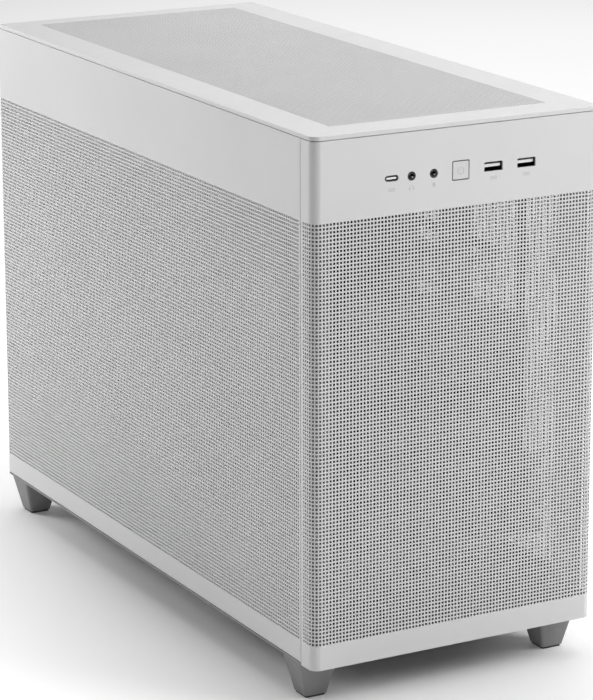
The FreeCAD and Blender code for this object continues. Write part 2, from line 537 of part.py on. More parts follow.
def make_cooler():
    cy, cz = CPU
    solids = [box(52, 62.5, cy - 23, cy + 23, cz - 22, cz + 22)]
    pipes = [tube("heat pipe", [(-84, y, cz - a), (57, y, cz - a), (57, y, cz + a), (-84, y, cz + a)], 3.0)
             for y, a in ((110, 27), (120, 27), (136, 27), (146, 27))]
    fins = [box(x, x + 0.7, cy - 25, cy + 25, cz - 59, cz + 59) for x in [26 - 3.1 * i for i in range(36)]]
    bars = [box(56, 58, cy - 42, cy + 42, cz + s * 33.5, cz + s * 41.5) for s in SIDES]
    risers = [box(50, 58, cy - 4, cy + 4, cz + s * 35.5, cz + s * 37.5) for s in SIDES]
    posts = [rod((56, cy + sy * 37.5, cz + sz * 37.5), X, 3.0, BOARD_FACE - 56)
             for sy in SIDES for sz in SIDES]
    bridge = box(50, 52, cy - 4, cy + 4, cz - 37.5, cz + 37.5)
    parts["cooler_heatsink"] = join(*(solids + pipes + fins + bars + risers + posts + [bridge]))


# ---------------------------------------------------------------- expansion cards
def bracket_plate(z):
    """Slot bracket: plate inside the rear wall and a tab folded out over the ledge."""
    plate = box(-53.86, 60, WALL_IN - 0.86, WALL_IN, z - 9.2, z + 9.2)
    tab = box(-53.86, -53, WALL_IN - 0.86, REAR - 2, z - 9.2, z + 9.2)
    return join(plate, tab).cut(rod((-54, 223.5, z), X, 1.9, 2.0))


def make_cards():
    parts["slot_covers"] = group(*[bracket_plate(z) for z in SLOT_Z[2:]])
    pair = join(bracket_plate(SLOT_Z[0]), bracket_plate(SLOT_Z[1]),
                box(-46, 56, WALL_IN - 0.86, WALL_IN, SLOT_Z[1] + 9.2, SLOT_Z[0] - 9.2))
    ports = [box(x - 8.5, x + 8.5, 210, WALL_IN, 146.6, 153.0) for x in (38, 14, -10)]
    vents = [box(x, x + 5, 210, WALL_IN, 127, 137.5) for x in range(-40, 46, 9)]
    parts["graphics_bracket"] = cut(pair, ports + vents)

    card = box(-46, 58.5, CARD_FRONT, CARD_REAR, CARD_LOW, CARD_HIGH)
    fingers = box(58.5, 65.6, 115, 200, CARD_LOW, CARD_HIGH)
    chip = box(-14, 20, 114, 148, 150.2, CARD_LOW)
    sockets = [box(x - 8.2, x + 8.2, 198, WALL_IN + 0.8, 146.9, 152.7) for x in (38, 14, -10)]
    legs = [box(x - 8.2, x + 8.2, 198, CARD_REAR, 152.7, CARD_LOW) for x in (38, 14, -10)]
    parts["graphics_board"] = join(card, fingers, chip, *(sockets + legs))

    fx, fy = CARD_FAN
    fins = [box(-42, 48, 58 + 4 * i, 58.9 + 4 * i, 126, 148) for i in range(34)]
    spreader = box(-42, 48, 58, 191, 148, 150.2)
    boss = rod((fx, fy, 124.4), Z, 12.0, 2.0)
    parts["graphics_heatsink"] = join(spreader, boss, *fins)

    shell = soften(box(-48, 54, 50, 196, 116, 152), Z, 6.0).cut(box(-46.4, 52.4, 51.6, 194.4, 117.6, 153))
    parts["graphics_shroud"] = shell.cut(rod((fx, fy, 116), Z, 43.0, 1.6))
    parts["graphics_fan_rotor"] = place(rotor(14.0, CARD_FAN_R, 7.4, 11), (fx, fy, 124.1), -Z)


# ---------------------------------------------------------------- power supply
def c14_inlet(depth):
    """Mains inlet along +Z: flange at z = 0..1.2, body behind it, three blades in the cavity."""
    body = join(box(-15.5, 15.5, -11.5, 11.5, 0, 1.2), box(-13.6, 13.6, -9.9, 9.9, 1.2, depth))
    body = body.cut(box(-12.3, 12.3, -8.3, 8.3, 0, 17))
    blades = [box(x - 1, x + 1, y - 2, y + 2, 5.4, 17) for x, y in ((-7, -1.5), (7, -1.5), (0, 2.5))]
    return join(body, *blades)


def make_power_supply():
    x0, x1, y0, y1, z0, z1 = PSU
    fx, fz = PSU_FAN
    hollow = box(x0 + 1, x1 - 1, y0 + 1, y1 - 1, z0 + 1, z1 - 1)
    case = soften(box(x0, x1, y0, y1, z0, z1), Z, 1.6).cut(hollow)
    openings = [rod((fx, y0, fz), Y, 57.5, 1.0),
                box(PSU_INLET_X - 13.8, PSU_INLET_X + 13.8, PSU_PORT_Y - 10.1, PSU_PORT_Y + 10.1, z0, z0 + 1),
                box(ROCKER_X - 9.4, ROCKER_X + 9.4, PSU_PORT_Y - 6.4, PSU_PORT_Y + 6.4, z0, z0 + 1)]
    openings += [box(x, x + 6, y, y + 18, z0, z0 + 1) for x in range(-72, -14, 9) for y in (-196, -173, -150)]
    openings += [rod((x, y, z1 - 1), Z, r + 0.3, 1.0) for x, y, r in CABLE_OUTLETS]
    openings += [rod((x, y, z0), Z, 1.9, 1.0) for x in (-81, 61) for y in (-203, -125)]
    guard = [pipe((fx, y0, fz), Y, r + 0.9, r - 0.9, 1.0) for r in (12, 23, 34, 45)]
    for angle in (0, 90):
        spoke = box(-58, 58, 0, 1, -1.2, 1.2)
        spoke.rotate(V(0, 0, 0), Y, angle)
        spoke.translate(V(fx, y0, fz))
        guard.append(spoke)
    parts["power_supply_housing"] = join(cut(case, openings), *guard)
    motor = [pipe((fx, y0 + 1, fz), Y, 60.0, FAN_BORE, 24.0), rod((fx, y0 + 23, fz), Y, 18.0, 2.0)]
    for i in range(3):
        strut = box(-59, -17, 0, 2, -2, 2)
        strut.rotate(V(0, 0, 0), Y, 120.0 * i + 30)
        strut.translate(V(fx, y0 + 23, fz))
        motor.append(strut)
    parts["power_supply_fan_frame"] = join(*motor)
    parts["power_supply_fan_rotor"] = place(rotor(17.0, FAN_TIP, 20.0, 7), (fx, y0 + 22.4, fz), -Y)

    disc = rod((ROCKER_X, PSU_PORT_Y - 6.0, ROCKER_PIVOT), Y, ROCKER_R, 12.0)
    rocker = disc.common(box(ROCKER_X - 20, ROCKER_X + 20, -200, -100, ROCKER_PIVOT - 2.3, ROCKER_PIVOT + 5))
    rocker.rotate(V(ROCKER_X, PSU_PORT_Y, ROCKER_PIVOT), Y, -ROCKER_TILT)
    parts["power_supply_rocker"] = rocker

    bx0, bx1 = x0 - 2.2, x1 + 2.2
    frame = box(bx0, bx1, FRAME_BACK, y1 + 2, z0 - 1.5, z0).cut(box(-77, 57, -201, -127, z0 - 1.5, z0))
    wings = [box(a, b, FRAME_BACK, y1 + 2, z0, 130) for a, b in ((bx0, bx0 + 1.2), (bx1 - 1.2, bx1))]
    tabs = [box(-94.2, bx0, FRAME_BACK, FRAME_BACK + 1.2, z0 - 1.5, 130),
            box(bx1, 76, FRAME_BACK, FRAME_BACK + 1.2, z0 - 1.5, 130)]
    holes = [rod((x, FRAME_BACK, z), Y, 1.9, 1.2) for x in (-91, 71) for z in (90, 118)]
    holes += [rod((x, y, z0 - 1.5), Z, 1.9, 1.5) for x in (-81, 61) for y in (-203, -125)]
    parts["power_supply_bracket"] = cut(join(frame, *(wings + tabs)), holes)

    rear = place(c14_inlet(20.0), (WALL_INLET[0], WALL_OUT + 1.2, WALL_INLET[1]), -Y)
    low = c14_inlet(20.0)
    low.translate(V(PSU_INLET_X, PSU_PORT_Y, z0 - 1.2))
    parts["ac_inlets"] = group(rear, low)


# ---------------------------------------------------------------- cables and screws
def make_cables():
    (mx, my, mr), (cx, cy, cr) = CABLE_OUTLETS
    top = PSU[5] - 1
    py, pz = MAIN_POWER
    run = tube("main power cable", [(mx, my, top), (mx, my, pz), (mx, py, pz), (43, py, pz)], mr)
    parts["main_power_cable"] = join(run, box(43, 57, py - 4.8, py + 4.8, pz - 25.5, pz + 25.5))

    py, pz = CPU_POWER
    run = tube("processor power cable",
               [(cx, cy, top), (cx, cy, 245), (84, cy, 245), (84, py, 245), (84, py, 331), (22, py, 331),
                (22, py, pz), (43, py, pz)], cr)
    parts["processor_power_cable"] = join(run, box(43, 57, py - 9, py + 9, pz - 4.6, pz + 4.6))

    py, pz = PANEL_HEADER
    run = tube("front panel cable",
               [(56, -198, 323), (56, -170, 323), (84, -170, 323), (84, -170, 59), (84, py, 59), (36, py, 59),
                (36, py, pz), (57, py, pz)], 3.0)
    parts["front_panel_cable"] = join(run, box(57, 61, py - 5.5, py + 5.5, pz - 3.6, pz + 3.6),
                                      box(48, 60, -203, -197, IO_BOARD_TOP, 326.5))

    ix, iz = WALL_INLET
    back = WALL_OUT + 1.2 - 20.0
    plug_y = PSU_PORT_Y + 12
    run = tube("mains extension cable",
               [(ix, back, iz), (ix, 160, iz), (ix, 160, 25.2), (ix, -105, 25.2), (ix, -105, 62),
                (ix, plug_y, 62)], 3.6)
    body = box(ix - 13, ix + 13, PSU_PORT_Y - 12, plug_y, 52, 76.6)
    nose = box(ix - 11.9, ix + 11.9, PSU_PORT_Y - 7.9, PSU_PORT_Y + 7.9, 76.6, 92)
    slots = [box(ix + x - 1.2, ix + x + 1.2, PSU_PORT_Y + y - 2.2, PSU_PORT_Y + y + 2.2, 78, 92)
             for x, y in ((-7, -1.5), (7, -1.5), (0, 2.5))]
    parts["ac_extension_cable"] = join(run, body, cut(nose, slots))

    hy, hz = REAR_FAN_HEADER
    fan_y = WALL_IN - FAN_DEPTH
    lead_a = tube("rear fan lead", [(0, fan_y, 224), (0, hy, 224), (0, hy, hz), (60, hy, hz)], 1.2)
    plug_a = box(58, 62, hy - 3.6, hy + 3.6, hz - 2.2, hz + 2.2)
    hy, hz = CPU_FAN_HEADER
    lead_b = tube("cooler fan lead", [(14, hy, CPU[1] + FAN / 2), (14, hy, hz), (60, hy, hz)], 1.2)
    plug_b = box(58, 62, hy - 3.6, hy + 3.6, hz - 2.2, hz + 2.2)
    parts["fan_leads"] = group(join(lead_a, plug_a), join(lead_b, plug_b))


def make_screws():
    screws = [screw((-56.86, 223.5, z), X, 3.8, 3.0, 1.7, 8.0) for z in SLOT_Z]
    screws += [screw((x, y, PSU[4] - 4.0), Z, 3.6, 2.5, 1.7, 7.0) for x in (-81, 61) for y in (-203, -125)]
    screws += [screw((x, FRAME_FRONT - 2.2, z), Y, 3.1, 2.2, 1.7, 6.0) for x in (-91, 71) for z in (90, 118)]
    screws += [screw((s * 70.5, FRAME_FRONT - 3.4, 322), Y, 3.1, 2.2, 1.7, 6.0) for s in SIDES]
    screws += [screw((s * FOOT_X, y, PAN_TOP + 2.2), -Z, 3.6, 2.2, 1.5, 11.0)
               for s in SIDES for y in FOOT_SCREW_Y]
    fx, fz = REAR_FAN
    corner = FAN_HOLES / 2
    screws += [screw((fx + sx * corner, WALL_OUT + 2.2, fz + sz * corner), -Y, 3.6, 2.2, 2.0, 10.0)
               for sx in SIDES for sz in SIDES]
    parts["chassis_screws"] = group(*screws)


def main():
    make_chassis()
    make_rear_panel()
    make_feet()
    make_front_cover()
    make_side_panels()
    make_top_cover()
    make_stud_sockets()
    make_front_ports()
    make_motherboard()
    make_cooler()
    make_fans()
    make_cards()
    make_power_supply()
    make_cables()
    make_screws()
    os.makedirs("parts", exist_ok=True)
    for name, shape in parts.items():
        shape.translate(V(0, 0, -FLOOR))
        shape.exportStep("parts/%s.step" % name)
        b = shape.BoundBox
        print("%-26s solids %3d valid %s  x %7.1f %7.1f  y %7.1f %7.1f  z %6.1f %6.1f" % (
            name, len(shape.Solids), shape.isValid(), b.XMin, b.XMax, b.YMin, b.YMax, b.ZMin, b.ZMax))
    print(len(parts), "nodes")


main()
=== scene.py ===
from math import cos, pi, radians, sin
from random import Random

import bmesh
import bpy
from mathutils import Matrix, Vector


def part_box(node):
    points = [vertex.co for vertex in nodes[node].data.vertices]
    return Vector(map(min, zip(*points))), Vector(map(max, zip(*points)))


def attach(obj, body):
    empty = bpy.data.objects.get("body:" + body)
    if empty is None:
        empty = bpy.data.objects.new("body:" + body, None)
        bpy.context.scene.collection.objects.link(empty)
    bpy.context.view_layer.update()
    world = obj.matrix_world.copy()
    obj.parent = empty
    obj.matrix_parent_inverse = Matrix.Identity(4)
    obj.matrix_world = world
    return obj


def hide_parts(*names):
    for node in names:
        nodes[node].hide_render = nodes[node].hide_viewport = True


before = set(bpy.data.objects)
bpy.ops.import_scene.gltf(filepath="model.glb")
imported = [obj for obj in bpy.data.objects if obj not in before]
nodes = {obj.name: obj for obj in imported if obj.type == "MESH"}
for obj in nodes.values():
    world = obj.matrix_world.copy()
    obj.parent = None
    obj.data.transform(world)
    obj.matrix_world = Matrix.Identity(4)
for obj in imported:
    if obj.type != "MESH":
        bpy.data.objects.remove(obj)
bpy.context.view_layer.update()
MM = 0.001
LIFT = 6.0                        # heights below are drawn from a datum this far above the floor


def limits(node):
    """x0, x1, y0, y1, z0, z1 of a CAD node in millimetres, heights from the datum."""
    low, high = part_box(node)
    spans = [v / MM for pair in zip(low, high) for v in pair]
    return spans[:4] + [v - LIFT for v in spans[4:]]


# ---------------------------------------------------------------- camera, lights, floor
def make_camera():
    data = bpy.data.cameras.new("camera")
    data.sensor_width = 36.0
    data.lens = 162.55
    data.shift_x, data.shift_y = -0.0336, -0.1
    data.clip_start, data.clip_end = 0.05, 60.0
    camera = bpy.data.objects.new("camera", data)
    bpy.context.scene.collection.objects.link(camera)
    camera.location = (-0.9835, -1.8199, 0.7329)
    camera.rotation_euler = (radians(90 - 14.167), 0, radians(-29.142))
    bpy.context.scene.camera = camera


def area_light(name, place, target, width, height, power):
    data = bpy.data.lights.new(name, "AREA")
    data.shape, data.size, data.size_y, data.energy = "RECTANGLE", width, height, power
    light = bpy.data.objects.new(name, data)
    bpy.context.scene.collection.objects.link(light)
    light.location = place
    light.rotation_mode = "QUATERNION"
    light.rotation_quaternion = (Vector(target) - Vector(place)).to_track_quat("-Z", "Y")


def make_studio():
    area_light("left_key", (-0.75, 1.0, 0.6), (-0.102, 0.2, 0.3), 0.5, 0.5, 8.8)
    area_light("front_key", (1.0, -1.0, 1.2), (0.05, -0.23, 0.3), 1.0, 1.0, 17)
    area_light("front_fill", (1.1, -0.9, 0.8), (0.05, -0.23, 0.3), 0.5, 0.5, 3)
    area_light("top_softbox", (0.2, 0.3, 2.6), (0.0, 0.0, 0.3), 2.4, 2.4, 36)
    area_light("rear_softbox", (1.6, 2.0, 1.4), (0.0, 0.2, 0.2), 1.6, 1.6, 11)
    world = bpy.data.worlds.new("studio")
    world.use_nodes = True
    world.node_tree.nodes["Background"].inputs["Color"].default_value = (1, 1, 1, 1)
    world.node_tree.nodes["Background"].inputs["Strength"].default_value = 0.05
    scene = bpy.context.scene
    scene.world = world
    scene.view_settings.view_transform = "Standard"

    mesh = bpy.data.meshes.new("floor")
    mesh.from_pydata([(-9, -9, 0), (9, -9, 0), (9, 9, 0), (-9, 9, 0)], [], [(0, 1, 2, 3)])
    floor = bpy.data.objects.new("floor", mesh)
    scene.collection.objects.link(floor)
    material = bpy.data.materials.new("floor_paper")
    material.use_nodes = True
    shader = material.node_tree.nodes["Principled BSDF"]
    shader.inputs["Base Color"].default_value = (0.93, 0.93, 0.93, 1)
    shader.inputs["Roughness"].default_value = 0.9
    shader.inputs["Specular IOR Level"].default_value = 0.1
    shader.inputs["Emission Color"].default_value = (1, 1, 1, 1)
    # painted light: the paper glows, not at all next to the tower and more further away, so it reads as white
    # ground with a painted shadow round the tower
    tree = material.node_tree
    squeeze, away = (tree.nodes.new("ShaderNodeVectorMath") for _ in range(2))
    squeeze.operation, away.operation = "MULTIPLY", "LENGTH"
    squeeze.inputs[1].default_value = (1, 0.45, 0)
    fade = tree.nodes.new("ShaderNodeMapRange")
    for socket, value in (("From Min", 0.09), ("From Max", 0.24), ("To Min", 0.0), ("To Max", 0.34)):
        fade.inputs[socket].default_value = value
    tree.links.new(tree.nodes.new("ShaderNodeNewGeometry").outputs["Position"], squeeze.inputs[0])
    tree.links.new(squeeze.outputs["Vector"], away.inputs[0])
    tree.links.new(away.outputs["Value"], fade.inputs["Value"])
    tree.links.new(fade.outputs["Result"], shader.inputs["Emission Strength"])
    mesh.materials.append(material)


# ---------------------------------------------------------------- materials
class Finish:
    """Procedural material: a Principled shader with its colour, roughness and relief from textures."""

    def __init__(self, name, **uniform):
        self.material = bpy.data.materials.new(name)
        self.material.use_nodes = True
        self.tree = self.material.node_tree
        self.shader = self.tree.nodes["Principled BSDF"]
        for socket, value in uniform.items():
            self.shader.inputs[socket.replace("_", " ")].default_value = value
        self.coordinates = self.tree.nodes.new("ShaderNodeTexCoord").outputs["Object"]
        self.height = None

    def node(self, kind, **settings):
        made = self.tree.nodes.new("ShaderNode" + kind)
        for key, value in settings.items():
            setattr(made, key, value)
        return made

    def link(self, output, socket):
        self.tree.links.new(output, socket)

    def stretched(self, scale):
        mapping = self.node("Mapping")
        mapping.inputs["Scale"].default_value = scale
        self.link(self.coordinates, mapping.inputs["Vector"])
        return mapping.outputs["Vector"]

    def noise(self, size_mm, detail=3.0, scale=(1, 1, 1), roughness=0.55):
        texture = self.node("TexNoise")
        texture.inputs["Scale"].default_value = 1000.0 / size_mm
        texture.inputs["Detail"].default_value = detail
        texture.inputs["Roughness"].default_value = roughness
        self.link(self.stretched(scale), texture.inputs["Vector"])
        return texture.outputs["Fac"]

    def cells(self, size_mm, feature="F1", scale=(1, 1, 1)):
        texture = self.node("TexVoronoi", feature=feature)
        texture.inputs["Scale"].default_value = 1000.0 / size_mm
        self.link(self.stretched(scale), texture.inputs["Vector"])
        return texture.outputs["Distance"]

    def remap(self, value, low, high, start=0.3, end=0.7):
        ramp = self.node("MapRange")
        for key, number in (("From Min", start), ("From Max", end), ("To Min", low), ("To Max", high)):
            ramp.inputs[key].default_value = number
        self.link(value, ramp.inputs["Value"])
        return ramp.outputs["Result"]

    def colours(self, value, first, second, start=0.3, end=0.7):
        ramp = self.node("ValToRGB")
        ramp.color_ramp.elements[0].position, ramp.color_ramp.elements[1].position = start, end
        ramp.color_ramp.elements[0].color = (*first, 1)
        ramp.color_ramp.elements[1].color = (*second, 1)
        self.link(value, ramp.inputs["Fac"])
        self.link(ramp.outputs["Color"], self.shader.inputs["Base Color"])
        return self

    def rough(self, value, low, high, start=0.3, end=0.7):
        self.link(self.remap(value, low, high, start, end), self.shader.inputs["Roughness"])
        return self

    def relief(self, value, depth_mm, strength=1.0):
        bump = self.node("Bump")
        bump.inputs["Distance"].default_value = depth_mm * MM
        bump.inputs["Strength"].default_value = strength
        self.link(value, bump.inputs["Height"])
        if self.height is not None:
            self.link(self.height, bump.inputs["Normal"])
        self.height = bump.outputs["Normal"]
        self.link(self.height, self.shader.inputs["Normal"])
        return self


def grey(value):
    return (value, value, value)


def painted(name, tone, rough=0.46, grain=0.6, depth=0.02):
    """Powder coat or paint: fine orange peel, slight drift of tone, softer and glossier patches."""
    f = Finish(name)
    f.colours(f.noise(90.0, 2.0), grey(tone * 0.975), grey(tone * 1.02))
    f.rough(f.noise(7.0, 4.0), rough - 0.06, rough + 0.08)
    f.relief(f.noise(grain, 2.0), depth, 0.5)
    f.relief(f.noise(3.5, 2.0), depth * 1.5, 0.25)
    return f.material


def moulded(name, dark, light, rough=0.5, grain=0.5, depth=0.03, **uniform):
    """Moulded plastic with a spark-eroded grain."""
    f = Finish(name, **uniform)
    f.colours(f.noise(24.0, 3.0), dark, light)
    f.rough(f.noise(2.2, 4.0), rough - 0.08, rough + 0.1)
    f.relief(f.cells(grain), depth, 0.45)
    return f.material


def metal(name, dark, light, rough=0.3, stretch=(1, 1, 1), grain=0.35, **uniform):
    """Drawn or rolled metal: streaks along one axis in tone, roughness and relief."""
    f = Finish(name, Metallic=1.0, **uniform)
    streaks = f.noise(grain, 3.0, stretch)
    f.colours(streaks, dark, light)
    f.rough(f.noise(grain * 2, 3.0, stretch), rough - 0.08, rough + 0.12)
    f.relief(streaks, 0.006, 0.4)
    return f.material


def circuit(name, mask, copper):
    """Solder mask over copper: routed tracks and small vias."""
    f = Finish(name, Coat_Weight=0.25)
    f.shader.inputs["Coat Roughness"].default_value = 0.25
    brick = f.node("TexBrick", offset=0.35, offset_frequency=3, squash=0.55, squash_frequency=4)
    brick.inputs["Scale"].default_value = 120.0
    brick.inputs["Mortar Size"].default_value = 0.05
    brick.inputs["Mortar Smooth"].default_value = 0.2
    mapping = f.node("Mapping")
    mapping.inputs["Rotation"].default_value = (radians(90), 0, radians(90))
    f.link(f.coordinates, mapping.inputs["Vector"])
    f.link(mapping.outputs["Vector"], brick.inputs["Vector"])
    f.colours(brick.outputs["Fac"], mask, copper, 0.2, 0.8)
    f.rough(f.noise(1.6, 3.0), 0.38, 0.55)
    f.relief(brick.outputs["Fac"], 0.05, 0.5)
    f.relief(f.cells(2.4), 0.02, 0.3)
    return f.material


def braided(name, dark, light):
    """Cable sleeve: crossing bands of fine yarn."""
    f = Finish(name, Sheen_Weight=0.15)
    waves = []
    for turn in (0.9, -0.9):
        mapping = f.node("Mapping")
        mapping.inputs["Rotation"].default_value = (turn, turn * 0.7, turn)
        f.link(f.coordinates, mapping.inputs["Vector"])
        wave = f.node("TexWave", wave_profile="SIN")
        wave.inputs["Scale"].default_value = 190.0
        wave.inputs["Distortion"].default_value = 0.6
        f.link(mapping.outputs["Vector"], wave.inputs["Vector"])
        waves.append(wave.outputs["Fac"])
    weave = f.node("Math", operation="MAXIMUM")
    f.link(waves[0], weave.inputs[0])
    f.link(waves[1], weave.inputs[1])
    f.colours(weave.outputs["Value"], dark, light, 0.35, 0.95)
    f.rough(f.noise(1.0, 2.0), 0.55, 0.75)
    f.relief(weave.outputs["Value"], 0.25, 0.6)
    return f.material


def make_materials():
    return {
        "white": painted("white_powder_coat", 0.68),
        # painted shade: the same white paint darkened to 0.26, for the white sheets inside the case, the
        # front frame and the cover's flanges
        "white_painted_shade": painted("white_coat_painted_shade", 0.26, 0.5),
        "white_plastic": moulded("white_moulded", grey(0.63), grey(0.67), 0.45),
        "foot": moulded("foot_moulded", grey(0.20), grey(0.245), 0.5, 0.8, 0.05),
        "rubber": moulded("pad_rubber", grey(0.03), grey(0.045), 0.75, 0.6, 0.06),
        "steel": metal("bright_steel", grey(0.50), grey(0.66), 0.3, (1, 1, 6)),
        # nickel darkened to 0.10-0.16: painted shade inside the socket mouths and jack bores
        "nickel": metal("nickel_darkened_as_shade", grey(0.10), grey(0.16), 0.42),
        # light insulator for the socket tongues; the same light grey also makes the painted glints in the
        # audio jacks
        "bright": moulded("bright_insulator_and_painted_glint", grey(0.80), grey(0.86), 0.35),
        "zinc": metal("zinc_sheet", grey(0.55), grey(0.72), 0.34, (1, 0.2, 1), 1.2),
        "aluminium": metal("fin_aluminium", grey(0.62), grey(0.76), 0.3, (1, 5, 1)),
        "gold": metal("contact_gold", (0.70, 0.50, 0.20), (0.86, 0.66, 0.32), 0.25),
        "brass": metal("turned_brass", (0.55, 0.40, 0.18), (0.72, 0.56, 0.28), 0.3, (6, 1, 1)),
        "copper": metal("wound_copper", (0.60, 0.30, 0.16), (0.80, 0.45, 0.26), 0.3, (1, 1, 5)),
        "black": moulded("black_moulded", grey(0.018), grey(0.032), 0.48),
        "fan": moulded("fan_moulded", grey(0.022), grey(0.036), 0.4, 0.9, 0.02),
        "ceramic": moulded("port_ceramic", grey(0.50), grey(0.58), 0.4),
        "chip": moulded("chip_epoxy", grey(0.02), grey(0.045), 0.6, 0.3, 0.02),
        "choke": moulded("choke_ferrite", grey(0.10), grey(0.15), 0.6, 0.4, 0.05),
        "green_jack": moulded("green_moulded", (0.10, 0.42, 0.12), (0.14, 0.50, 0.16), 0.45),
        "blue_jack": moulded("blue_moulded", (0.08, 0.25, 0.55), (0.12, 0.30, 0.62), 0.45),
        "pink_jack": moulded("pink_moulded", (0.60, 0.22, 0.30), (0.68, 0.28, 0.36), 0.45),
        "ink": painted("pad_print_ink", 0.42, 0.6, 0.8, 0.004),
        "board": circuit("solder_mask", (0.010, 0.013, 0.016), (0.022, 0.030, 0.036)),
        "black_steel": painted("black_texture_coat", 0.035, 0.55, 0.9, 0.06),
        "sleeve": braided("cable_braid", grey(0.012), grey(0.05)),
    }


# ---------------------------------------------------------------- solid modelling in millimetres
def oriented(axis, u, v, w):
    """Point with w along an axis and u, v across it."""
    return {"X": (w, u, v), "Y": (u, w, v), "Z": (u, v, w)}[axis]


def circle(cu, cv, r, count, start=0.0):
    return [(cu + r * cos(start + 2 * pi * i / count), cv + r * sin(start + 2 * pi * i / count))
            for i in range(count)]


def rounded(u0, u1, v0, v1, r, steps=4):
    """Rectangle with round corners, as a list of points."""
    points = []
    for cu, cv, turn in ((u1 - r, v1 - r, 0), (u0 + r, v1 - r, 1), (u0 + r, v0 + r, 2), (u1 - r, v0 + r, 3)):
        points += [(cu + r * cos(pi / 2 * (turn + i / steps)), cv + r * sin(pi / 2 * (turn + i / steps)))
                   for i in range(steps + 1)]
    return points


class Piece:
    """A visual piece made of closed solids, each with its own material."""

    def __init__(self, name, body, material):
        self.name, self.body, self.materials, self.index = name, body, [], 0
        self.bm = bmesh.new()
        self.paint(material)

    def paint(self, material):
        if material not in self.materials:
            self.materials.append(material)
        self.index = self.materials.index(material)
        return self

    def rings(self, rings, bevel=0.0, segments=2):
        rows = [[self.bm.verts.new(p) for p in ring] for ring in rings]
        count = len(rows[0])
        made = [self.bm.faces.new(rows[0][::-1]), self.bm.faces.new(rows[-1])]
        for low, high in zip(rows, rows[1:]):
            made += [self.bm.faces.new((low[i], low[(i + 1) % count], high[(i + 1) % count], high[i]))
                     for i in range(count)]
        for face in made:
            face.material_index = self.index
        if bevel:
            edges = {e for f in made for e in f.edges}
            sharp = [e for e in edges if len(e.link_faces) == 2 and e.calc_face_angle(0) > radians(50)]
            bmesh.ops.bevel(self.bm, geom=sharp, offset=bevel, segments=segments, profile=0.5,
                            affect="EDGES", clamp_overlap=True, material=self.index)
        return self

    def prism(self, outline, axis, start, end, bevel=0.0, segments=2):
        return self.rings([[oriented(axis, u, v, w) for u, v in outline] for w in (start, end)],
                          bevel, segments)

    def block(self, x0, x1, y0, y1, z0, z1, bevel=0.0, segments=2):
        return self.prism([(x0, y0), (x1, y0), (x1, y1), (x0, y1)], "Z", z0, z1, bevel, segments)

    def rod(self, centre, axis, r, start, end, count=24, bevel=0.0):
        return self.prism(circle(*centre, r, count), axis, start, end, bevel)

    def turned(self, centre, axis, profile, count=24):
        """Solid of revolution; profile is a list of (radius, position along the axis)."""
        return self.rings([[oriented(axis, u, v, w) for u, v in circle(*centre, max(r, 0.01), count)]
                           for r, w in profile])

    def ring(self, centre, axis, r_out, r_in, start, end, count=32, span=2 * pi, first=0.0):
        """Flat ring or part of one."""
        stops = [first + span * i / count for i in range(count + 1)]
        rows = []
        for a in stops:
            corner = [(r_in, start), (r_out, start), (r_out, end), (r_in, end)]
            rows.append([oriented(axis, centre[0] + r * cos(a), centre[1] + r * sin(a), w)
                         for r, w in corner])
        if abs(span - 2 * pi) > 1e-6:
            return self.rings(rows)
        verts = [[self.bm.verts.new(p) for p in row] for row in rows[:-1]]
        for i in range(count):
            low, high = verts[i], verts[(i + 1) % count]
            for k in range(4):
                face = self.bm.faces.new((low[k], low[(k + 1) % 4], high[(k + 1) % 4], high[k]))
                face.material_index = self.index
        return self

    def carve(self, cutter):
        """Take another piece's solids away from this one."""
        target, tool = self.to_object(1.0), cutter.to_object(1.0)
        boolean = target.modifiers.new("cut", "BOOLEAN")
        boolean.operation, boolean.solver, boolean.object = "DIFFERENCE", "EXACT", tool
        bpy.context.view_layer.update()
        mesh = bpy.data.meshes.new_from_object(target.evaluated_get(bpy.context.evaluated_depsgraph_get()))
        self.bm = bmesh.new()
        self.bm.from_mesh(mesh)
        for obj in (target, tool):
            bpy.data.objects.remove(obj)
        return self

    def soften(self, offset, test, segments=2):
        """Bevel the sharp edges whose two ends pass the test."""
        chosen = [e for e in self.bm.edges if len(e.link_faces) == 2 and e.calc_face_angle(0) > radians(35)
                  and all(test(*v.co) for v in e.verts)]
        bmesh.ops.bevel(self.bm, geom=chosen, offset=offset, segments=segments, profile=0.5,
                        affect="EDGES", clamp_overlap=True, material=-1)
        return self

    def to_object(self, scale, lift=0.0):
        bmesh.ops.recalc_face_normals(self.bm, faces=self.bm.faces)
        mesh = bpy.data.meshes.new(self.name)
        self.bm.to_mesh(mesh)
        self.bm.free()
        mesh.transform(Matrix.Translation((0, 0, lift)) @ Matrix.Scale(scale, 4))
        for material in self.materials:
            mesh.materials.append(material)
        obj = bpy.data.objects.new(self.name, mesh)
        bpy.context.scene.collection.objects.link(obj)
        return obj

    def done(self, *replaced, slot=None):
        obj = self.to_object(MM, LIFT * MM)
        for polygon in obj.data.polygons:
            polygon.use_smooth = True
        obj.data.set_sharp_from_angle(angle=radians(40))
        normals = obj.modifiers.new("face_weighted_normals", "WEIGHTED_NORMAL")
        normals.keep_sharp, normals.weight = True, 100
        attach(obj, self.body)
        if replaced:
            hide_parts(*replaced)
        return obj


# ---------------------------------------------------------------- perforated covers
HOLE, PITCH, ACROSS = 1.5, 2.4165, 2.36
BAR, POST = PITCH - HOLE, ACROSS - HOLE
ROW_COUNT, FIRST_ROW = 110, 36.9
MESH_LOW = FIRST_ROW - HOLE / 2
MESH_HIGH = FIRST_ROW + (ROW_COUNT - 1) * PITCH + HOLE / 2
SHEET, WEB, SIDE_WEB = 1.0, 0.55, 0.9   # sheet at the borders, then between the holes, front and sides
CORNER = 6.0
SEAT = 0.02                       # the upright bars lie this much inside the level ones

FX0, FX1, FRONT, WRAP_BACK, COVER_LOW, COVER_HIGH = limits("front_cover")
HALF = FX1


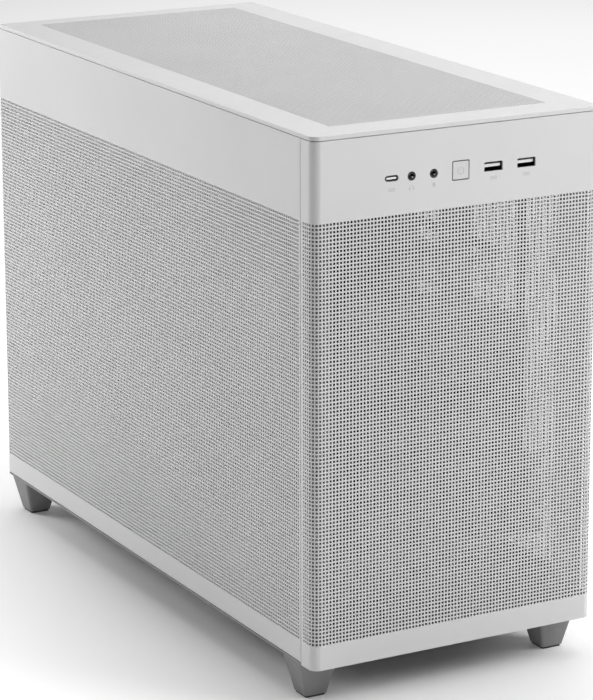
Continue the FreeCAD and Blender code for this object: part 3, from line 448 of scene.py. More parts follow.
def on_wrap(s, inset=0.0):
    """Point on the front cover's outline, s along the outer face from the middle of the front."""
    side, s = (1, s) if s >= 0 else (-1, -s)
    flat, arc, r = HALF - CORNER, CORNER * pi / 2, CORNER - inset
    if s <= flat:
        x, y = s, FRONT + inset
    elif s <= flat + arc:
        a = (s - flat) / CORNER
        x, y = flat + r * sin(a), FRONT + CORNER - r * cos(a)
    else:
        x, y = HALF - inset, FRONT + CORNER + s - flat - arc
    return side * x, y


WRAP_LENGTH = HALF - CORNER + CORNER * pi / 2 + (WRAP_BACK - FRONT - CORNER)


def wrap_stops(first, last, steps=8):
    """Places along the outline where it starts, bends and ends."""
    flat, arc = HALF - CORNER, CORNER * pi / 2
    bends = [flat + arc * i / steps for i in range(steps + 1)]
    inner = [b for b in [-v for v in bends] + bends if first + 1e-6 < b < last - 1e-6]
    return [first] + sorted(inner) + [last]


def wrap_wall(piece, first, last, z0, z1, outer=0.0, inner=SHEET, steps=8):
    stops = wrap_stops(first, last, steps)
    piece.rings([[(*on_wrap(s, outer), z0), (*on_wrap(s, outer), z1), (*on_wrap(s, inner), z1),
                  (*on_wrap(s, inner), z0)] for s in stops])


def wrap_plate(piece, inset, back, z0, z1):
    """Level plate that fills the outline from the front back to a straight edge."""
    reach = HALF - CORNER + CORNER * pi / 2 + (back - FRONT - CORNER)
    piece.prism([on_wrap(s, inset) for s in wrap_stops(-reach, reach)], "Z", z0, z1)


def level_gaps():
    return [MESH_LOW + HOLE + k * PITCH for k in range(ROW_COUNT - 1)]


IO_Z = (limits("power_button")[4] + limits("power_button")[5]) / 2
BUTTON_X = (limits("power_button")[0] + limits("power_button")[1]) / 2
BUTTON = limits("power_button")[1] - limits("power_button")[0]
USB_C_X, JACK_X, USB_A_X, JACK_R = -48.0, (-34.1, -18.6), (23.7, 47.5), 2.65
WALL_OUT, BOARD_FACE = 218.0, limits("motherboard")[0]


def make_front_cover(paint):
    upper = Piece("upper_band", "front_cover", paint["white"])
    wrap_wall(upper, -WRAP_LENGTH, WRAP_LENGTH, MESH_HIGH, COVER_HIGH, steps=10)
    cutter = Piece("port_cutter", "front_cover", paint["white"])
    y0, y1 = FRONT - 2, FRONT + 3
    cutter.prism(rounded(USB_C_X - 4.75, USB_C_X + 4.75, IO_Z - 1.85, IO_Z + 1.85, 1.84, 8), "Y", y0, y1)
    for x in JACK_X:
        cutter.rod((x, IO_Z), "Y", JACK_R + 0.2, y0, y1, 40)
    half = BUTTON / 2 + 0.7
    cutter.prism(rounded(BUTTON_X - half, BUTTON_X + half, IO_Z - half, IO_Z + half, 1.0, 5), "Y", y0, y1)
    for x in USB_A_X:
        cutter.prism(rounded(x - 6.55, x + 6.55, IO_Z - 2.9, IO_Z + 2.9, 0.35, 3), "Y", y0, y1)
    upper.carve(cutter)
    upper.soften(0.18, lambda x, y, z: abs(y - FRONT) < 1e-3 and abs(z - IO_Z) < 9 and abs(x) < 62)
    upper.soften(0.45, lambda x, y, z: z > COVER_HIGH - 1e-3 and (
        abs(abs(x) - HALF) < 1e-3 or abs(y - FRONT) < 1e-3
        or (abs(x) > HALF - CORNER and y < FRONT + CORNER)))

    wrap_wall(upper, -WRAP_LENGTH, WRAP_LENGTH, COVER_LOW, MESH_LOW, steps=10)
    for z in level_gaps():
        wrap_wall(upper, -WRAP_LENGTH, WRAP_LENGTH, z, z + BAR, 0.0, WEB)
    last = int((WRAP_LENGTH - HOLE / 2 - 0.5) / ACROSS)
    for k in range(-last, last):
        middle = (k + 0.5) * ACROSS
        wrap_wall(upper, middle - POST / 2, middle + POST / 2, MESH_LOW - 0.3, MESH_HIGH + 0.3, SEAT,
                  WEB - SEAT)
    for side in (-1, 1):
        ends = sorted((side * (last * ACROSS + HOLE / 2), side * WRAP_LENGTH))
        wrap_wall(upper, *ends, MESH_LOW - 0.3, MESH_HIGH + 0.3, SEAT, SHEET - SEAT)
        x0, x1 = sorted((side * 82.0, side * (HALF - SHEET)))
        # the flange takes the darkened white: painted shade in the seam between the front cover and the side
        # panels
        upper.paint(paint["white_painted_shade"]).block(x0, x1, WRAP_BACK - SHEET, WRAP_BACK, COVER_LOW, COVER_HIGH)
        upper.paint(paint["white"])
    for z in (COVER_LOW, COVER_HIGH - SHEET):
        wrap_plate(upper, SHEET, FRONT + 9.0, z, z + SHEET)
    upper.name = "front_cover_sheet"
    upper.done("front_cover", slot="white_steel")


def make_side_panel(name, body, paint):
    x0, x1, y0, y1, z0, z1 = limits(name)
    side = 1 if x1 > 0 else -1
    outer, inner, hem = side * HALF, side * (HALF - SHEET), side * (HALF - SHEET - 5.0)
    fold, web = 0.3, side * (HALF - SIDE_WEB)

    def bend(u_out, v_end, v_in, u_hem):
        """Profile of a sheet edge folded inwards through a small radius."""
        turn = 1 if v_end > v_in else -1
        arc = [(u_out - side * fold * (1 - sin(a)), v_end - turn * fold * (1 - cos(a)))
               for a in [pi / 2 * (1 - i / 4) for i in range(5)]]
        return [(u_out, v_in)] + arc + [(u_hem, v_end), (u_hem, v_end - turn * SHEET),
                                        (inner, v_end - turn * SHEET), (inner, v_in)]

    piece = Piece(name + "_sheet", body, paint["white"])
    columns = int((y1 - y0 - 2 * 1.2 - HOLE) / ACROSS) + 1
    first = (y0 + y1) / 2 - (columns - 1) * ACROSS / 2
    edge = first - HOLE / 2 - y0
    for end, start in ((z1, MESH_HIGH), (z0, MESH_LOW)):
        profile = bend(outer, end, start, hem)
        piece.rings([[(x, y, z) for x, z in profile] for y in (y0 + edge, y1 - edge)])
    for end, start in ((y0, y0 + edge), (y1, y1 - edge)):
        profile = bend(outer, end, start, hem)
        piece.rings([[(x, y, z) for x, y in profile] for z in (z0, z1)])
    for z in level_gaps():
        piece.block(*sorted((outer, web)), y0 + edge - 0.05, y1 - edge + 0.05, z, z + BAR)
    for k in range(columns - 1):
        y = first + HOLE / 2 + k * ACROSS
        piece.block(*sorted((outer - side * SEAT, web + side * SEAT)), y, y + POST, MESH_LOW - 0.3,
                    MESH_HIGH + 0.3)
    piece.done(name, slot="white_steel")


def make_top_cover(paint):
    x0, x1, y0, y1, z0, z1 = limits("top_cover")
    under = z1 - 1.2
    field_y0, rows, columns = -205.0, 173, 64
    half = columns * PITCH / 2 - BAR / 2
    field_y1 = field_y0 + rows * PITCH - BAR
    piece = Piece("top_cover_sheet", "lid", paint["white"])
    wrap_plate(piece, 0.0, y1, z0 - 0.35, z1)
    cutter = Piece("lid_cutter", "lid", paint["white"])
    wrap_plate(cutter, 1.2, y1 - 1.2, z0 - 2, under)
    piece.carve(cutter)
    window = Piece("field_cutter", "lid", paint["white"])
    window.block(-half, half, field_y0, field_y1, z0 - 3, z1 + 2)
    piece.carve(window)
    piece.soften(0.5, lambda x, y, z: z > z1 - 1e-3
                 and not (abs(x) < half + 1 and field_y0 - 1 < y < field_y1 + 1))
    for k in range(rows - 1):
        y = field_y0 + HOLE + k * PITCH
        piece.block(-half - 0.05, half + 0.05, y, y + BAR, under, z1)
    for k in range(columns - 1):
        x = -half + HOLE + k * PITCH
        piece.block(x, x + BAR, field_y0 - 0.3, field_y1 + 0.3, under + SEAT, z1 - SEAT)
    piece.done("top_cover", slot="white_steel")


def make_front_frame(paint):
    x0, x1, y0, y1, z0, z1 = limits("front_frame")
    plate_back = y0 + 1.0
    # the frame plate takes the darkened white: painted shade behind the perforated front cover
    piece = Piece("front_frame_sheet", "chassis", paint["white_painted_shade"])
    piece.block(x0, x1, y0, plate_back, z0, z1)
    cutter = Piece("frame_cutter", "chassis", paint["white"])
    hole, pitch = 4.2, 5.42
    bar = pitch - hole
    left, low, high = -71.0, 53.5, 183.0
    zones = [(2, 22, low, 22, 6), (0, 22, low, 6, 0), (0, 7, high, 12, 0), (7, 22, high, 16, 0)]
    windows = []
    for c0, c1, base, rows, skip in zones:
        windows.append((left + c0 * pitch, left + c1 * pitch - bar,
                        base + skip * pitch - (bar if skip else 0),
                        base + rows * pitch - bar))
    for wx0, wx1, wz0, wz1 in windows:
        cutter.block(wx0, wx1, y0 - 1, plate_back + 1, wz0, wz1)
    cutter.block(-66, 66, y0 - 1, plate_back + 1, 311, 338)
    for x in (-88.0, 88.0):
        for z in (38.0, 250.0, 332.0):
            cutter.rod((x, z), "Y", 5.5, y0 - 1, plate_back + 1)
    piece.carve(cutter)
    for wx0, wx1, wz0, wz1 in windows:
        x = left + hole
        while x < wx1 - hole:
            if x > wx0:
                piece.block(x, x + bar, y0 + SEAT, plate_back - SEAT, wz0 - 0.4, wz1 + 0.4)
            x += pitch
        z = (low if wz0 < high - 5 else high) + hole
        while z < wz1 - hole:
            if z > wz0:
                piece.block(wx0 - 0.4, wx1 + 0.4, y0, plate_back, z, z + bar)
            z += pitch
    for side in (-1, 1):
        piece.block(*sorted((side * 94.5, side * 95.5)), plate_back, y1, z0, z1)
    piece.done("front_frame", slot="white_steel")


# ---------------------------------------------------------------- front ports
def usb_a_socket(piece, paint, x, mouth, low, deep=15.0):
    """USB-A receptacle that opens towards -Y: folded shell, tongue with contacts, dark back."""
    w, h, t = 7.25, 7.1, 0.35
    # the shell takes the darkened nickel: painted shade in the socket mouth
    piece.paint(paint["nickel"])
    for z in (low, low + h - t):
        piece.block(x - w, x + w, mouth, mouth + deep, z, z + t, 0.1, 1)
    for s in (-1, 1):
        piece.block(*sorted((x + s * w, x + s * (w - t))), mouth, mouth + deep, low + t, low + h - t)
        piece.block(*sorted((x + s * 2.6, x + s * 3.4)), mouth + 1.5, mouth + 6.0, low + t,
                    low + t + 0.5, 0.15)
    piece.paint(paint["black"]).block(x - w + t, x + w - t, mouth + 9.5, mouth + deep, low + t, low + h - t)
    piece.paint(paint["bright"]).block(x - 5.6, x + 5.6, mouth + 0.25, mouth + 9.5, IO_Z - 0.35,
                                       IO_Z + 1.4, 0.15)
    piece.paint(paint["gold"])
    for k in (-3.5, -1.0, 1.0, 3.5):
        piece.block(x + k - 0.5, x + k + 0.5, mouth + 1.2, mouth + 9.5, IO_Z - 0.5, IO_Z - 0.35)


def make_front_ports(paint):
    low = limits("usb_a_ports")[4]
    mouth = limits("usb_a_ports")[2]
    ports = Piece("usb_a_sockets", "chassis", paint["steel"])
    for x in USB_A_X:
        usb_a_socket(ports, paint, x, mouth, low)
    ports.done("usb_a_ports", slot="bare_steel")

    y0 = limits("usb_c_port")[2]
    floor_z = limits("usb_c_port")[4]
    # the shell takes the darkened nickel: painted shade in the socket mouth
    port = Piece("usb_c_socket", "chassis", paint["nickel"])
    port.prism(rounded(USB_C_X - 4.47, USB_C_X + 4.47, IO_Z - 1.58, IO_Z + 1.58, 1.57, 8), "Y", y0, -219.0)
    cavity = Piece("cavity", "chassis", paint["nickel"])
    cavity.prism(rounded(USB_C_X - 4.17, USB_C_X + 4.17, IO_Z - 1.28, IO_Z + 1.28, 1.27, 8), "Y",
                 y0 - 1, -221.0)
    port.carve(cavity)
    port.soften(0.08, lambda x, y, z: abs(y - y0) < 1e-3)
    port.paint(paint["bright"])
    port.prism(rounded(USB_C_X - 3.45, USB_C_X + 3.45, IO_Z - 0.62, IO_Z + 0.62, 0.6, 6), "Y", y0 + 0.35,
               -221.0, 0.1)
    port.paint(paint["black"])
    port.block(USB_C_X - 4.0, USB_C_X + 4.0, -221.3, -220.9, IO_Z - 1.2, IO_Z + 1.2)
    port.paint(paint["gold"])
    for k in range(-5, 6):
        for z in (0.62, -0.67):
            port.block(USB_C_X + k * 0.5 - 0.12, USB_C_X + k * 0.5 + 0.12, y0 + 1.4, -221.3, IO_Z + z,
                       IO_Z + z + 0.05)
    port.paint(paint["steel"]).block(USB_C_X - 5.2, USB_C_X + 5.2, -223.5, -216.0, floor_z, IO_Z - 1.3, 0.2)
    port.block(USB_C_X - 5.2, USB_C_X + 5.2, -219.0, -216.0, IO_Z - 1.3, IO_Z + 1.6, 0.2)
    port.done("usb_c_port", slot="bare_steel")

    y0 = limits("audio_jacks")[2]
    low = limits("front_io_board")[5]
    top = low + 7.4
    jacks = Piece("audio_sockets", "chassis", paint["black"])
    for x in JACK_X:
        jacks.ring((x, IO_Z), "Y", JACK_R, 1.8, y0, y0 + 4.0, 40)
        jacks.block(x - 4.0, x + 4.0, y0 + 14.8, y0 + 16.8, low, top, 0.3)
        for s in (-1, 1):
            jacks.block(*sorted((x + s * 1.9, x + s * 4.0)), y0 + 3.8, y0 + 14.9, low, top, 0.2)
            jacks.block(x - 2.0, x + 2.0, y0 + 3.8, y0 + 14.9,
                        *sorted((IO_Z + s * 1.9, top if s > 0 else low)))
        # the ring takes the darkened nickel: painted shade in the jack's bore
        jacks.paint(paint["nickel"]).ring((x, IO_Z), "Y", 2.2, 1.55, y0 + 0.7, y0 + 3.6, 32)
        # painted glints: two small bright rods in each jack's bore stand in for highlights
        jacks.paint(paint["bright"])
        for turn in (-0.7, 2.2):
            a, b = (1.35 * cos(turn), 1.35 * sin(turn)) if turn < 0 else (1.5 * cos(turn), 1.5 * sin(turn))
            jacks.rod((x + a, IO_Z + b), "Y", 0.42 if turn < 0 else 0.22, y0 + 0.5, y0 + 3.0, 10, 0.1)
        jacks.paint(paint["black"])
    tints = (paint["pink_jack"], paint["green_jack"], paint["blue_jack"])
    for z, tint in zip(REAR_JACK_Z, tints):
        x, face = 63.5, WALL_OUT + 0.4
        jacks.paint(paint["black"])
        jacks.block(57.0, BOARD_FACE, 190.0, face - 14.0, z - 4.9, z + 4.9, 0.2)
        for s in (-1, 1):
            jacks.block(57.0, BOARD_FACE, face - 14.0, face - 1.0, *sorted((z + s * 1.85, z + s * 4.9)), 0.15)
        jacks.block(57.0, x - 1.85, face - 14.0, face - 1.0, z - 1.9, z + 1.9)
        jacks.block(x + 1.85, BOARD_FACE, face - 14.0, face - 1.0, z - 1.9, z + 1.9)
        jacks.paint(tint).ring((x, z), "Y", 4.3, 1.8, face - 1.4, face, 36)
        jacks.block(57.2, BOARD_FACE - 0.2, face - 1.6, face - 0.7, z - 4.7, z - 2.6)
        jacks.paint(paint["steel"]).ring((x, z), "Y", 2.3, 1.7, face - 4.0, face - 1.4, 32)
    jacks.done("audio_jacks", slot="black_plastic")


def make_power_button(paint):
    x0, x1, y0, y1, z0, z1 = limits("power_button")
    button = Piece("power_button_cap", "button", paint["white_plastic"])
    button.prism(rounded(x0, x1, z0, z1, 0.7, 5), "Y", y0, y0 + 2.4, 0.25, 3)
    button.block(BUTTON_X - 3, BUTTON_X + 3, y0 + 2.3, y1, IO_Z - 3, IO_Z + 3, 0.3)
    button.paint(paint["ink"])
    gap = radians(62)
    button.ring((BUTTON_X, IO_Z - 0.15), "Y", 2.3, 2.0, y0 - 0.02, y0 + 0.1, 36, 2 * pi - gap,
                pi / 2 + gap / 2)
    button.block(BUTTON_X - 0.15, BUTTON_X + 0.15, y0 - 0.02, y0 + 0.1, IO_Z + 0.3, IO_Z + 2.7)
    button.done("power_button", slot="white_plastic")


def make_icons(paint):
    """Small printed marks below the sockets: a plug, headphones, a microphone."""
    marks = Piece("port_marks", "front_cover", paint["ink"])
    y0, y1 = FRONT - 0.02, FRONT + 0.1
    z = IO_Z - 7.0
    for x in (USB_C_X, *USB_A_X):
        marks.block(x - 2.2, x + 2.2, y0, y1, z + 0.7, z + 0.95)
        marks.block(x - 2.2, x + 2.2, y0, y1, z - 0.95, z - 0.7)
        for s in (-1, 1):
            marks.block(x + s * 2.08 - 0.12, x + s * 2.08 + 0.12, y0, y1, z - 0.7, z + 0.7)
        marks.block(x - 1.3, x + 1.3, y0, y1, z - 0.14, z + 0.14)
    x = JACK_X[0]
    marks.ring((x, z - 0.3), "Y", 1.5, 1.25, y0, y1, 20, pi, 0.0)
    for s in (-1, 1):
        marks.block(x + s * 1.35 - 0.3, x + s * 1.35 + 0.3, y0, y1, z - 1.4, z - 0.2)
    x = JACK_X[1]
    marks.prism(rounded(x - 0.5, x + 0.5, z - 0.5, z + 1.5, 0.49, 5), "Y", y0, y1)
    marks.ring((x, z + 0.1), "Y", 1.15, 0.93, y0, y1, 20, pi, pi)
    marks.block(x - 0.12, x + 0.12, y0, y1, z - 1.6, z - 0.9)
    marks.done()


# ---------------------------------------------------------------- inside and rear
REAR_JACK_Z = (181.0, 191.0, 201.0)
USB_STACKS, NET_PORTS = ((54.5, 291.0, 306.5), (54.5, 239.0, 254.5)), ((56.0, 263.0, 279.0),)
TALL_STACK = (42.0, 212.0, 228.0)


def make_rear_sockets(paint):
    """Steel shells on the board's rear edge, with cavities, tongues and contacts."""
    face, back = WALL_OUT + 0.4, 190.0
    shells = Piece("rear_sockets", "chassis", paint["zinc"])
    cavities = Piece("cavities", "chassis", paint["black"])
    tongues = []
    for x, low, high in USB_STACKS:
        shells.block(x, BOARD_FACE, back, face, low, high, 0.25)
        for x0 in (x + 1.2, x + 8.6):
            cavities.block(x0, x0 + 5.4, face - 9.0, face + 2, low + 1.2, high - 1.2)
            tongues.append((x0 + 2.9, x0 + 4.7, low + 2.2, high - 2.2))
    for x, low, high in NET_PORTS + ((TALL_STACK[0] + 14.4, TALL_STACK[1], TALL_STACK[2]),):
        wide = min(x + 13.6, BOARD_FACE)
        shells.block(x - (14.4 if low == TALL_STACK[1] else 0), BOARD_FACE, back, face, low, high, 0.25)
        cavities.block(x + 1.6, wide - 2.6, face - 11.0, face + 2, low + 2.0, high - 2.0)
        cavities.block(wide - 3.0, wide - 1.2, face - 11.0, face + 2, low + 5.0, high - 5.0)
    for x0 in (TALL_STACK[0] + 0.8, TALL_STACK[0] + 7.4):
        cavities.block(x0, x0 + 5.4, face - 9.0, face + 2, TALL_STACK[1] + 1.4, TALL_STACK[2] - 1.4)
        tongues.append((x0 + 2.9, x0 + 4.7, TALL_STACK[1] + 2.4, TALL_STACK[2] - 2.4))
    shells.carve(cavities)
    shells.paint(paint["blue_jack"])
    for x0, x1, z0, z1 in tongues:
        shells.block(x0, x1, face - 9.0, face - 0.6, z0, z1, 0.1)
    shells.paint(paint["black"])
    for x0, x1, z0, z1 in tongues:
        shells.block(x0 - 2.8, x1 + 0.6, face - 9.0, face - 8.6, z0 - 0.9, z1 + 0.9)
    for x, low, high in NET_PORTS + ((TALL_STACK[0] + 14.4, TALL_STACK[1], TALL_STACK[2]),):
        shells.block(x + 1.6, min(x + 13.6, BOARD_FACE) - 2.6, face - 11.0, face - 10.0, low + 2.0,
                     high - 2.0)
        shells.paint(paint["gold"])
        for k in range(8):
            z = (low + high) / 2 + (k - 3.5) * 1.02
            shells.block(x + 2.0, x + 3.0, face - 10.0, face - 2.0, z - 0.2, z + 0.2)
        shells.paint(paint["black"])
    shells.done("board_connectors", slot="black_plastic")


def make_board_headers(paint):
    """Power, fan and data headers of the main board."""
    headers = Piece("board_headers", "chassis", paint["black"])

    def grid(depth, cy, cz, dy, dz, rows, columns):
        headers.paint(paint["black"])
        headers.block(BOARD_FACE - depth, BOARD_FACE, cy - dy, cy + dy, cz - dz, cz + dz, 0.3)
        headers.block(BOARD_FACE - depth + 1, BOARD_FACE - 1, cy + dy, cy + dy + 1.0, cz - 2.4, cz + 2.4, 0.2)
        headers.paint(paint["chip"])
        for i in range(rows):
            for j in range(columns):
                y, z = cy + (i - (rows - 1) / 2) * 4.2, cz + (j - (columns - 1) / 2) * 4.2
                headers.block(BOARD_FACE - depth - 0.15, BOARD_FACE - depth + 0.2, y - 1.7, y + 1.7,
                              z - 1.7, z + 1.7,
                              0.25, 1)

    grid(12.8, -25.0, 262.0, 5.0, 25.8, 2, 12)
    grid(12.8, 177.5, 311.0, 9.3, 5.0, 4, 2)
    headers.paint(paint["black"])
    headers.block(BOARD_FACE - 3.0, BOARD_FACE, 4.0, 16.0, 84.0, 92.0, 0.2)
    headers.paint(paint["gold"])
    for i in range(5):
        for j in (-1.3, 1.3):
            y = 10.0 + (i - 2) * 2.54
            headers.block(BOARD_FACE - 8.8, BOARD_FACE, y - 0.32, y + 0.32, 88 + j - 0.32, 88 + j + 0.32)
    for y, z in ((96.0, 318.5), (180.0, 205.0)):
        headers.paint(paint["white_plastic"]).block(BOARD_FACE - 3.0, BOARD_FACE, y - 4, y + 4, z - 2.5,
                                                    z + 2.5, 0.2)
        headers.block(BOARD_FACE - 7.6, BOARD_FACE, y - 2, y + 2, z + 1.6, z + 2.5, 0.2)
        headers.paint(paint["gold"])
        for k in range(4):
            headers.block(BOARD_FACE - 7.9, BOARD_FACE, y - 3.81 + k * 2.54 - 0.3, y - 3.81 + k * 2.54 + 0.3,
                          z - 0.3, z + 0.3)
    y0 = limits("motherboard")[2]
    for z in (112.0, 130.0):
        headers.paint(paint["black"])
        headers.block(BOARD_FACE - 12.0, BOARD_FACE, y0 + 3.0, y0 + 15.0, z, z + 14.0, 0.3)
        for k in (0.0, 12.6):
            headers.block(BOARD_FACE - 12.0, BOARD_FACE, y0 + 1.0, y0 + 3.2, z + k, z + k + 1.4, 0.2)
        for x in (2.6, 8.0):
            headers.block(BOARD_FACE - x - 1.1, BOARD_FACE - x, y0 + 1.2, y0 + 3.2, z + 2.4, z + 11.6, 0.1)
    headers.done()


def make_board_parts(paint):
    """Soldered parts: chokes, capacitors, chips, the cell and small chip resistors."""
    parts = Piece("board_parts", "chassis", paint["choke"])
    chance = Random(11)

    def can(y, z, r=3.1, tall=8.0):
        parts.paint(paint["aluminium"])
        parts.turned((y, z), "X", [(r * 0.94, BOARD_FACE - 0.1), (r, BOARD_FACE - 0.5), (r, BOARD_FACE - 1.2),
                                   (r * 0.9, BOARD_FACE - 1.6), (r, BOARD_FACE - 2.0),
                                   (r, BOARD_FACE - tall + 0.4),
                                   (r * 0.88, BOARD_FACE - tall)], 20)
        parts.paint(paint["black"])
        parts.block(BOARD_FACE - 1.0, BOARD_FACE, y - r, y + r, z - r, z + r, 0.4)

    def choke(y, z):
        parts.paint(paint["choke"])
        parts.block(BOARD_FACE - 5.2, BOARD_FACE, y - 3.6, y + 3.6, z - 3.6, z + 3.6, 0.7, 3)
        parts.paint(paint["steel"])
        for s in (-1, 1):
            parts.block(BOARD_FACE - 2.4, BOARD_FACE, y - 1.2, y + 1.2, *sorted((z + s * 3.5, z + s * 3.85)))

    def chip(y, z, dy, dz, tall=1.1):
        parts.paint(paint["chip"])
        parts.block(BOARD_FACE - tall, BOARD_FACE - 0.2, y - dy, y + dy, z - dz, z + dz, 0.15)
        parts.paint(paint["steel"])
        for s in (-1, 1):
            count = int(dy * 2 / 1.0)
            for k in range(count):
                py = y - dy + (k + 0.5) * dy * 2 / count
                parts.block(BOARD_FACE - 0.5, BOARD_FACE, py - 0.17, py + 0.17,
                            *sorted((z + s * dz, z + s * (dz + 0.9))))

    for k in range(7):
        choke(164.2, 219.0 + k * 10.4)
    for k in range(5):
        choke(107.0 + k * 10.4, 290.5)
    for k in range(6):
        can(88.5, 204.0 + k * 15.0)
    for k in range(5):
        can(108.0 + k * 11.0, 277.0, 2.9, 7.0)
    for y, z in ((36, 300), (36, 284), (28, 232), (26, 216), (-14, 228), (192, 158), (192, 100), (180, 102),
                 (168, 100), (192, 126), (182, 128), (90, 108), (100, 108), (-12, 300), (-12, 316)):
        can(y, z, 3.1, 8.0)
    for y, z, dy, dz in ((96, 90, 5, 5), (60, 130, 7, 7), (178, 165, 4, 4), (30, 168, 6, 6),
                         (0, 200, 4.5, 4.5),
                         (198, 268, 3.2, 3.2), (130, 104, 4, 3), (6, 240, 3, 3), (60, 92, 5, 3.2)):
        chip(y, z, dy, dz)
    parts.paint(paint["steel"])
    parts.turned((72.0, 108.0), "X", [(9.8, BOARD_FACE - 1.2), (10.0, BOARD_FACE - 1.5),
                                      (10.0, BOARD_FACE - 3.9),
                                      (9.6, BOARD_FACE - 4.2), (8.8, BOARD_FACE - 4.2),
                                      (8.6, BOARD_FACE - 4.35)], 40)
    parts.paint(paint["black"]).ring((72.0, 108.0), "X", 11.6, 10.1, BOARD_FACE - 3.0, BOARD_FACE, 36)
    kinds = (paint["chip"], paint["ceramic"], paint["copper"])
    taken = ((97, 159, 216, 268), (170, 186, 214, 288), (100, 160, 297, 313), (8, 48, 100, 138),
             (40, 80, 174, 322),
             (80, 170, 165, 192), (112, 203, 84, 160), (186, 214, 170, 310), (-32, -14, 105, 150),
             (-31, -18, 234, 290), (60, 84, 96, 120), (2, 18, 82, 94), (166, 190, 300, 322))
    placed = 0
    while placed < 260:
        y, z = chance.uniform(-26, 208), chance.uniform(82, 318)
        flip, kind = chance.random() < 0.5, kinds[min(int(chance.random() * 4), 2)]
        if any(a - 2 < y < b + 2 and c - 2 < z < d + 2 for a, b, c, d in taken):
            continue
        dy, dz = (0.8, 0.42) if flip else (0.42, 0.8)
        parts.paint(paint["steel"]).block(BOARD_FACE - 0.42, BOARD_FACE, y - dy, y + dy, z - dz, z + dz)
        parts.paint(kind).block(BOARD_FACE - 0.55, BOARD_FACE, y - dy * (0.6 if flip else 1.02),
                                y + dy * (0.6 if flip else 1.02), z - dz * (1.02 if flip else 0.6),
                                z + dz * (1.02 if flip else 0.6))
        placed += 1
    parts.done()


def make_memory(paint):
    """Memory modules: card with gold edge between two stamped heat spreaders."""
    x0, x1, y0, y1, z0, z1 = limits("memory_modules")
    modules = Piece("memory_sticks", "chassis", paint["board"])
    for y in (y0 + 3.1, y1 - 3.1):
        modules.paint(paint["board"]).block(x0 + 1.0, x1, y - 0.6, y + 0.6, z0, z1, 0.1, 1)
        modules.paint(paint["aluminium"])
        for s in (-1, 1):
            modules.block(x0 + 2.5, 60.0, *sorted((y + s * 0.6, y + s * 3.0)), z0 + 2, z1 - 2, 0.5)
            for k in range(9):
                z = z0 + 12 + k * 13.6
                modules.block(x0 + 7, 54.0, *sorted((y + s * 2.9, y + s * 3.1)), z, z + 7.0, 0.09, 1)
        modules.block(x0, x0 + 3.0, y - 2.4, y + 2.4, z0 + 8, z1 - 8, 0.8, 3)
        for k in range(12):
            z = z0 + 14 + k * 9.2
            modules.block(x0 - 0.0, x0 + 3.2, y - 2.7, y + 2.7, z, z + 3.2, 0.4)
        modules.paint(paint["gold"])
        for k in range(58):
            z = z0 + 5 + k * 2.15
            modules.block(x1 - 3.4, x1 - 0.4, y - 0.65, y + 0.65, z, z + 1.3)
    modules.done("memory_modules", slot="circuit_board")


def make_mains_inlets(paint):
    """Moulded mains inlets with chamfered cavities and three plated blades each."""
    inlets = Piece("mains_inlets", "chassis", paint["black"])
    cavity = Piece("cavity", "chassis", paint["black"])
    rear_y, low_z = WALL_OUT + 1.2, limits("ac_inlets")[4]
    psu_y, psu_z = -164.0, limits("power_supply_housing")[4]
    inlets.block(24.5, 55.5, rear_y - 1.2, rear_y, 38.5, 61.5, 0.4)
    inlets.block(26.4, 53.6, rear_y - 20, rear_y - 1.1, 40.1, 59.9, 0.3)
    cavity.prism([(27.7, 41.7), (52.3, 41.7), (52.3, 55.3), (49.3, 58.3), (30.7, 58.3), (27.7, 55.3)], "Y",
                 rear_y - 17, rear_y + 2)
    inlets.block(24.5, 55.5, psu_y - 11.5, psu_y + 11.5, psu_z - 1.2, psu_z, 0.3)
    inlets.block(26.4, 53.6, psu_y - 9.9, psu_y + 9.9, psu_z - 0.1, psu_z + 18.8, 0.3)
    cavity.block(27.7, 52.3, psu_y - 8.3, psu_y + 8.3, psu_z - 3, psu_z + 15.8)
    inlets.carve(cavity)
    inlets.soften(0.5, lambda x, y, z: abs(y - rear_y) < 1e-3 and 27 < x < 53 and 41 < z < 59)
    inlets.paint(paint["steel"])
    for dx, dz in ((-7, 1.5), (7, 1.5), (0, -2.5)):
        inlets.block(40 + dx - 1, 40 + dx + 1, rear_y - 17.5, rear_y - 5.4, 50 + dz - 2, 50 + dz + 2, 0.35)
    for dx, dy in ((-7, -1.5), (7, -1.5), (0, 2.5)):
        inlets.block(40 + dx - 1, 40 + dx + 1, psu_y + dy - 2, psu_y + dy + 2, psu_z + 4.2,
                     psu_z + 16.2, 0.35)
    inlets.done("ac_inlets", slot="black_plastic")


def make_display_sockets(paint):
    """Mouths of the graphics card's three sockets, set just inside the bracket."""
    y = limits("graphics_board")[3]
    mouths = Piece("display_sockets", "chassis", paint["steel"])
    for x in (38, 14, -10):
        outline = [(x - 7.9, 147.2), (x + 7.9, 147.2), (x + 7.9, 152.5), (x - 6.4, 152.5), (x - 7.9, 151.0)]
        mouths.paint(paint["steel"]).prism(outline, "Y", y - 0.4, y + 0.25, 0.1, 1)
        mouths.paint(paint["chip"])
        inner = [(x - 7.4, 147.7), (x + 7.4, 147.7), (x + 7.4, 152.0), (x - 6.2, 152.0), (x - 7.4, 150.8)]
        mouths.prism(inner, "Y", y, y + 0.3)
        mouths.paint(paint["black"]).block(x - 5.9, x + 5.9, y, y + 0.38, 149.4, 150.6, 0.1)
        mouths.paint(paint["gold"])
        for k in range(10):
            mouths.block(x - 5.2 + k * 1.1, x - 4.8 + k * 1.1, y, y + 0.4, 149.2, 149.45)
    mouths.done()


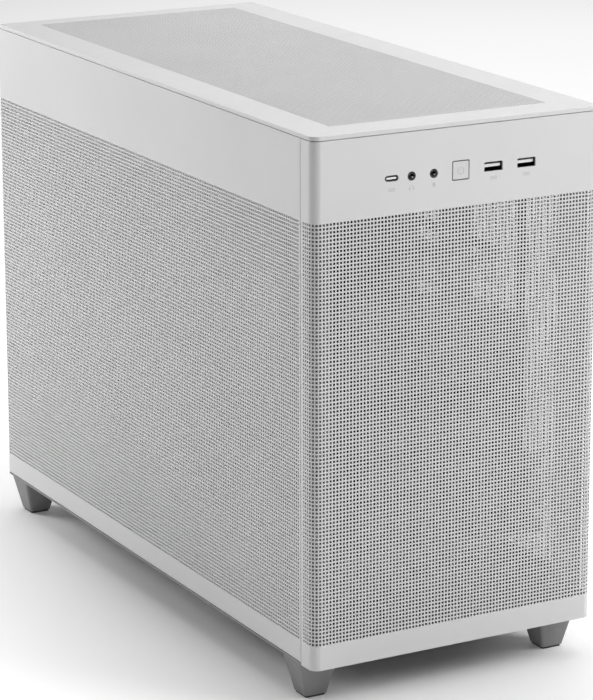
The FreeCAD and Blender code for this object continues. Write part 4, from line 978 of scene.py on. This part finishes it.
def make_graphics_parts(paint):
    """Solder side of the graphics card and the raised lines of its shroud."""
    x0, x1, y0, y1, z0, z1 = limits("graphics_board")
    top = z1
    parts = Piece("graphics_parts", "chassis", paint["chip"])
    chance = Random(5)
    for i in range(-1, 2, 2):
        for j in range(4):
            parts.paint(paint["chip"])
            cx, cy = 3 + i * 30, 94 + j * 22
            parts.block(cx - 6, cx + 6, cy - 5, cy + 5, top, top + 0.6, 0.15)
    parts.paint(paint["steel"])
    for sx in (-1, 1):
        for sy in (-1, 1):
            parts.turned((3 + sx * 26, 131 + sy * 26), "Z",
                         [(2.9, top), (3.0, top + 1.2), (2.4, top + 1.7)], 20)
    for k in range(120):
        x, y = chance.uniform(-42, 52), chance.uniform(54, 208)
        kind = (paint["ceramic"], paint["copper"], paint["chip"])[int(chance.random() * 3)]
        parts.paint(kind).block(x - 0.8, x + 0.8, y - 0.42, y + 0.42, top, top + 0.5)
    sx0, sx1, sy0, sy1, sz0, sz1 = limits("graphics_shroud")
    parts.paint(paint["black"])
    for k in range(3):
        z = sz0 + 9 + k * 8
        parts.block(sx0 - 0.4, sx0 + 0.3, sy0 + 14, sy1 - 14, z, z + 2.2, 0.25)
    parts.ring((3.0, 131.0), "Z", 46.0, 43.2, sz0 - 0.7, sz0 + 0.3, 72)
    parts.done()


# ---------------------------------------------------------------- finishes of the solids that stay
def finish_nodes(paint):
    finishes = {
        # the chassis sheets inside take the darkened white: painted shade inside the case
        "white_painted_shade": ["base_pan", "motherboard_tray", "top_frame", "power_supply_bracket", "slot_covers"],
        "white": ["rear_panel"],
        "white_plastic": ["stud_sockets", "front_io_bracket"],
        "foot": ["front_left_foot", "front_right_foot", "rear_left_foot", "rear_right_foot"],
        "rubber": ["foot_pads"],
        "steel": ["front_cover_studs", "left_panel_studs", "right_panel_studs", "top_cover_studs",
                  "board_screws", "chassis_screws"],
        "zinc": ["io_shield", "graphics_bracket"],
        "aluminium": ["cooler_heatsink", "board_heatsinks", "graphics_heatsink"],
        "black": ["power_switch", "memory_slots", "expansion_sockets", "processor_socket", "graphics_shroud",
                  "power_supply_rocker"],
        "fan": ["cooler_fan_frame", "cooler_fan_rotor", "rear_fan_frame", "rear_fan_rotor",
                "graphics_fan_rotor",
                "power_supply_fan_frame", "power_supply_fan_rotor"],
        "board": ["motherboard", "front_io_board", "solid_state_drive", "graphics_board"],
        "black_steel": ["power_supply_housing"],
        "brass": ["board_standoffs"],
        "sleeve": ["main_power_cable", "processor_power_cable", "front_panel_cable", "ac_extension_cable",
                   "fan_leads"],
    }
    for key, names in finishes.items():
        for name in names:
            data = nodes[name].data
            data.materials.clear()
            data.materials.append(paint[key])


make_camera()
make_studio()
paint = make_materials()
finish_nodes(paint)
make_front_cover(paint)
make_side_panel("left_side_panel", "left_panel", paint)
make_side_panel("right_side_panel", "right_panel", paint)
make_top_cover(paint)
make_front_frame(paint)
make_front_ports(paint)
make_power_button(paint)
make_icons(paint)
make_rear_sockets(paint)
make_board_headers(paint)
make_board_parts(paint)
make_memory(paint)
make_mains_inlets(paint)
make_display_sockets(paint)
make_graphics_parts(paint)
